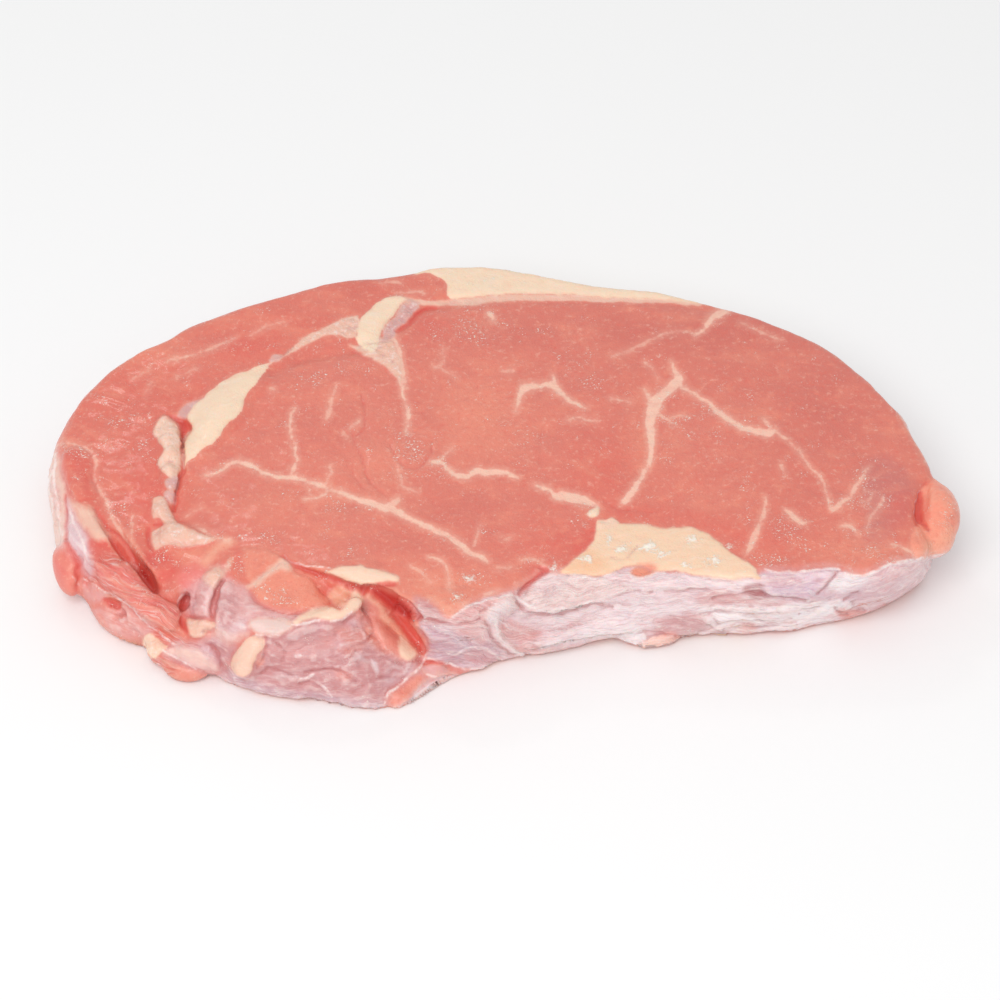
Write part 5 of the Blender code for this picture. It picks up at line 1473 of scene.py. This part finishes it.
def wet_glint_shares(look):
    """Share of the small wet specks and of the broader shine on the front fat, which lay painted highlights
    into the colour as well as bumps and gloss.
    """
    gate = (look.clouds(260.0, 2.0) + look.sparkle * 0.25).step(0.56, 0.74)
    specks = (look.finest + look.sparkle * 0.02).step(0.60, 0.66) * gate
    gloss = (look.clouds(700.0, 4.0, 0.75) - 0.5) * 4.4 + (look.fine - 0.5) * 1.6
    shine = (look.wet * 1.3 + gloss).step(0.40, 1.40) * look.wet.step(0.05, 0.35)
    return specks, shine


def surface_height(look, skin, specks, shine):
    """Height of the fine relief that the mesh is too coarse for."""
    fibrous = (skin * look.fibrous).larger(look.torn)
    fine = look.fine - 0.5
    height = (look.middle - 0.5) * 0.30 + fine * 0.50 + (look.finest - 0.5) * 0.30 + specks * 0.25
    height = height + look.sparkle * fine * 0.8 + look.knobbly * fine * 0.6
    height = height + (look.thin_fibres - 0.5) * (0.12 + fibrous * 0.9) + (look.hairs - 0.5) * fibrous * 0.5
    return height + look.threads * fibrous * 0.25 + shine * 0.4


def flesh_material(colours):
    """Lean, fat, tendon and silverskin on one wet surface."""
    material = bpy.data.materials.new("wet_flesh")
    material.use_nodes = True
    tree = material.node_tree
    shader = tree.nodes["Principled BSDF"]
    look = Look(tree)
    thickness = (look.fibrous * 1.2 - 0.2).larger(0.1)
    skin = ((look.kept("skin") + look.ragged * 0.5) * thickness).step(-0.30, 0.30)
    fat_depth = look.kept("fat") + look.ragged * 0.3
    fat = (look.kept("fat_share") + look.ragged * 0.30).step(0.20, 0.80)
    specks, shine = wet_glint_shares(look)
    body = coated(
        lean_colour(look, colours),
        (skin, skin_colour(look, colours)),
        # painted shade: red laid into the wide hollows
        (look.wide_hollow.step(0.15, 0.8) * 0.22, colours.red_lean),
        (fat_depth.step(-0.6, 0.0) * 0.15, colours.vein),
        (fat, fat_colour(look, fat_depth, colours)),
        *line_coats(look, colours),
        # painted highlights: the glint colour laid into the specks and the shine
        (specks * 0.85, colours.glint),
        (shine * 0.90, colours.glint),
    )
    height = surface_height(look, skin, specks, shine)
    varying = {
        "Base Color": body,
        "Roughness": 0.40 + (look.middle - 0.5) * 0.4 + fat * 0.06 - shine * 0.2,
        "Coat Weight": 0.25 + look.sparkle * 0.5 + skin * 0.15 + shine * 0.6 + (look.broad - 0.5) * 0.5,
        "Normal": add_node(tree, "ShaderNodeBump", {"Strength": 0.8, "Distance": 0.35 * MM, "Height": height},
                           "Normal"),
    }
    even = {
        "Coat Roughness": 0.10, "Coat IOR": 1.36, "Specular IOR Level": 0.45,
        "Subsurface Weight": 0.22, "Subsurface Radius": (1.0, 0.35, 0.25), "Subsurface Scale": 0.8 * MM,
    }
    for name, wire in varying.items():
        tree.links.new(wire.socket, shader.inputs[name])
    for name, value in even.items():
        shader.inputs[name].default_value = value
    return material


def floor_material(colour):
    """Matt pale floor."""
    material = bpy.data.materials.new("pale_floor")
    material.use_nodes = True
    shader = material.node_tree.nodes["Principled BSDF"]
    shader.inputs["Base Color"].default_value = (*colour, 1.0)
    shader.inputs["Roughness"].default_value = 0.9
    shader.inputs["Specular IOR Level"].default_value = 0.1
    return material


# ---------------------------------------------------------------------------------------------
# The stage
# ---------------------------------------------------------------------------------------------
def soft_light(name, place, width, power):
    """A round light that points at the steak."""
    lamp = bpy.data.lights.new(name, "AREA")
    lamp.shape = "DISK"
    lamp.size = width
    lamp.energy = power
    item = bpy.data.objects.new(name, lamp)
    item.location = place
    item.rotation_euler = (-Vector(place)).to_track_quat("-Z", "Y").to_euler()
    bpy.context.scene.collection.objects.link(item)


def soft_world(strength):
    """White light from all round."""
    world = bpy.data.worlds.new("soft_white")
    world.use_nodes = True
    background = world.node_tree.nodes["Background"]
    background.inputs["Color"].default_value = (1.0, 1.0, 1.0, 1.0)
    background.inputs["Strength"].default_value = strength
    return world


def photo_camera():
    """The photograph's camera."""
    back, _ = camera_axes()
    lens = bpy.data.cameras.new("photo_camera")
    lens.lens = CAMERA_LENS
    lens.sensor_width = CAMERA_SENSOR
    lens.clip_start = 0.01
    camera = bpy.data.objects.new("photo_camera", lens)
    camera.location = (np.array(CAMERA_TARGET) + back * CAMERA_DISTANCE) * MM
    camera.rotation_euler = Vector(-back).to_track_quat("-Z", "Y").to_euler()
    return camera


# ---------------------------------------------------------------------------------------------
# Operators
# ---------------------------------------------------------------------------------------------
class STEAK_OT_flesh(bpy.types.Operator):
    """Make the steak's skin from its solid, with its relief, and work out what each point is made of"""
    bl_idname = "steak.flesh"
    bl_label = "Make the flesh"

    def execute(self, context):
        """Build the piece that replaces the plain solid."""
        sizes, colours = context.scene.steak_sizes, context.scene.steak_colours
        steak = copy_solid(sizes)
        even_forms(steak)
        raise_relief(steak, sizes)
        keep_hollows(steak)
        thin_plain(steak, sizes)
        paint_points(steak, colours)
        steak.data.shade_smooth()
        steak.data.materials.append(flesh_material(colours))
        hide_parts(NODE)
        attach(steak, BODY)
        return {"FINISHED"}


class STEAK_OT_stage(bpy.types.Operator):
    """Put down a pale floor, set up soft light and place the camera as in the photograph"""
    bl_idname = "steak.stage"
    bl_label = "Set the stage"

    def execute(self, context):
        """Build the floor, the lights and the camera."""
        scene, settings = context.scene, context.scene.steak_stage
        bpy.ops.mesh.primitive_plane_add(size=FLOOR_SIZE, location=(0.0, 0.0, 0.0))
        floor = context.object
        floor.name = "floor"
        floor.data.materials.append(floor_material(settings.floor))
        scene.world = soft_world(settings.fill)
        for name, (place, width) in LAMPS.items():
            soft_light(name, place, width, getattr(settings, name + "_power"))
        camera = photo_camera()
        scene.collection.objects.link(camera)
        scene.camera = camera
        scene.view_settings.view_transform = "Standard"
        return {"FINISHED"}


class STEAK_PT_panel(bpy.types.Panel):
    """The steak's operators and settings, in the sidebar"""
    bl_idname = "STEAK_PT_panel"
    bl_label = "Raw veal entrecote"
    bl_space_type = "VIEW_3D"
    bl_region_type = "UI"
    bl_category = "Steak"

    def draw(self, context):
        """List the operators and the settings."""
        for operator in OPERATORS:
            self.layout.operator(operator.bl_idname)
        for name in SETTINGS:
            group = getattr(context.scene, name)
            for setting in group.bl_rna.properties.keys():
                if setting not in ("rna_type", "name"):
                    self.layout.prop(group, setting)


OPERATORS = (STEAK_OT_flesh, STEAK_OT_stage)
SETTINGS = {"steak_sizes": SteakSizes, "steak_colours": SteakColours, "steak_stage": StageSettings}


def register():
    """Make the classes and settings known."""
    for name, group in SETTINGS.items():
        bpy.utils.register_class(group)
        setattr(bpy.types.Scene, name, PointerProperty(type=group))
    for item in (*OPERATORS, STEAK_PT_panel):
        bpy.utils.register_class(item)


def unregister():
    """Take the classes and settings away again."""
    for item in reversed((*OPERATORS, STEAK_PT_panel)):
        bpy.utils.unregister_class(item)
    for name, group in SETTINGS.items():
        delattr(bpy.types.Scene, name)
        bpy.utils.unregister_class(group)


def main():
    """Build the whole scene."""
    register()
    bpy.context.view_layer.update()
    bpy.ops.steak.flesh()
    bpy.ops.steak.stage()


if __name__ == "__main__":
    main()
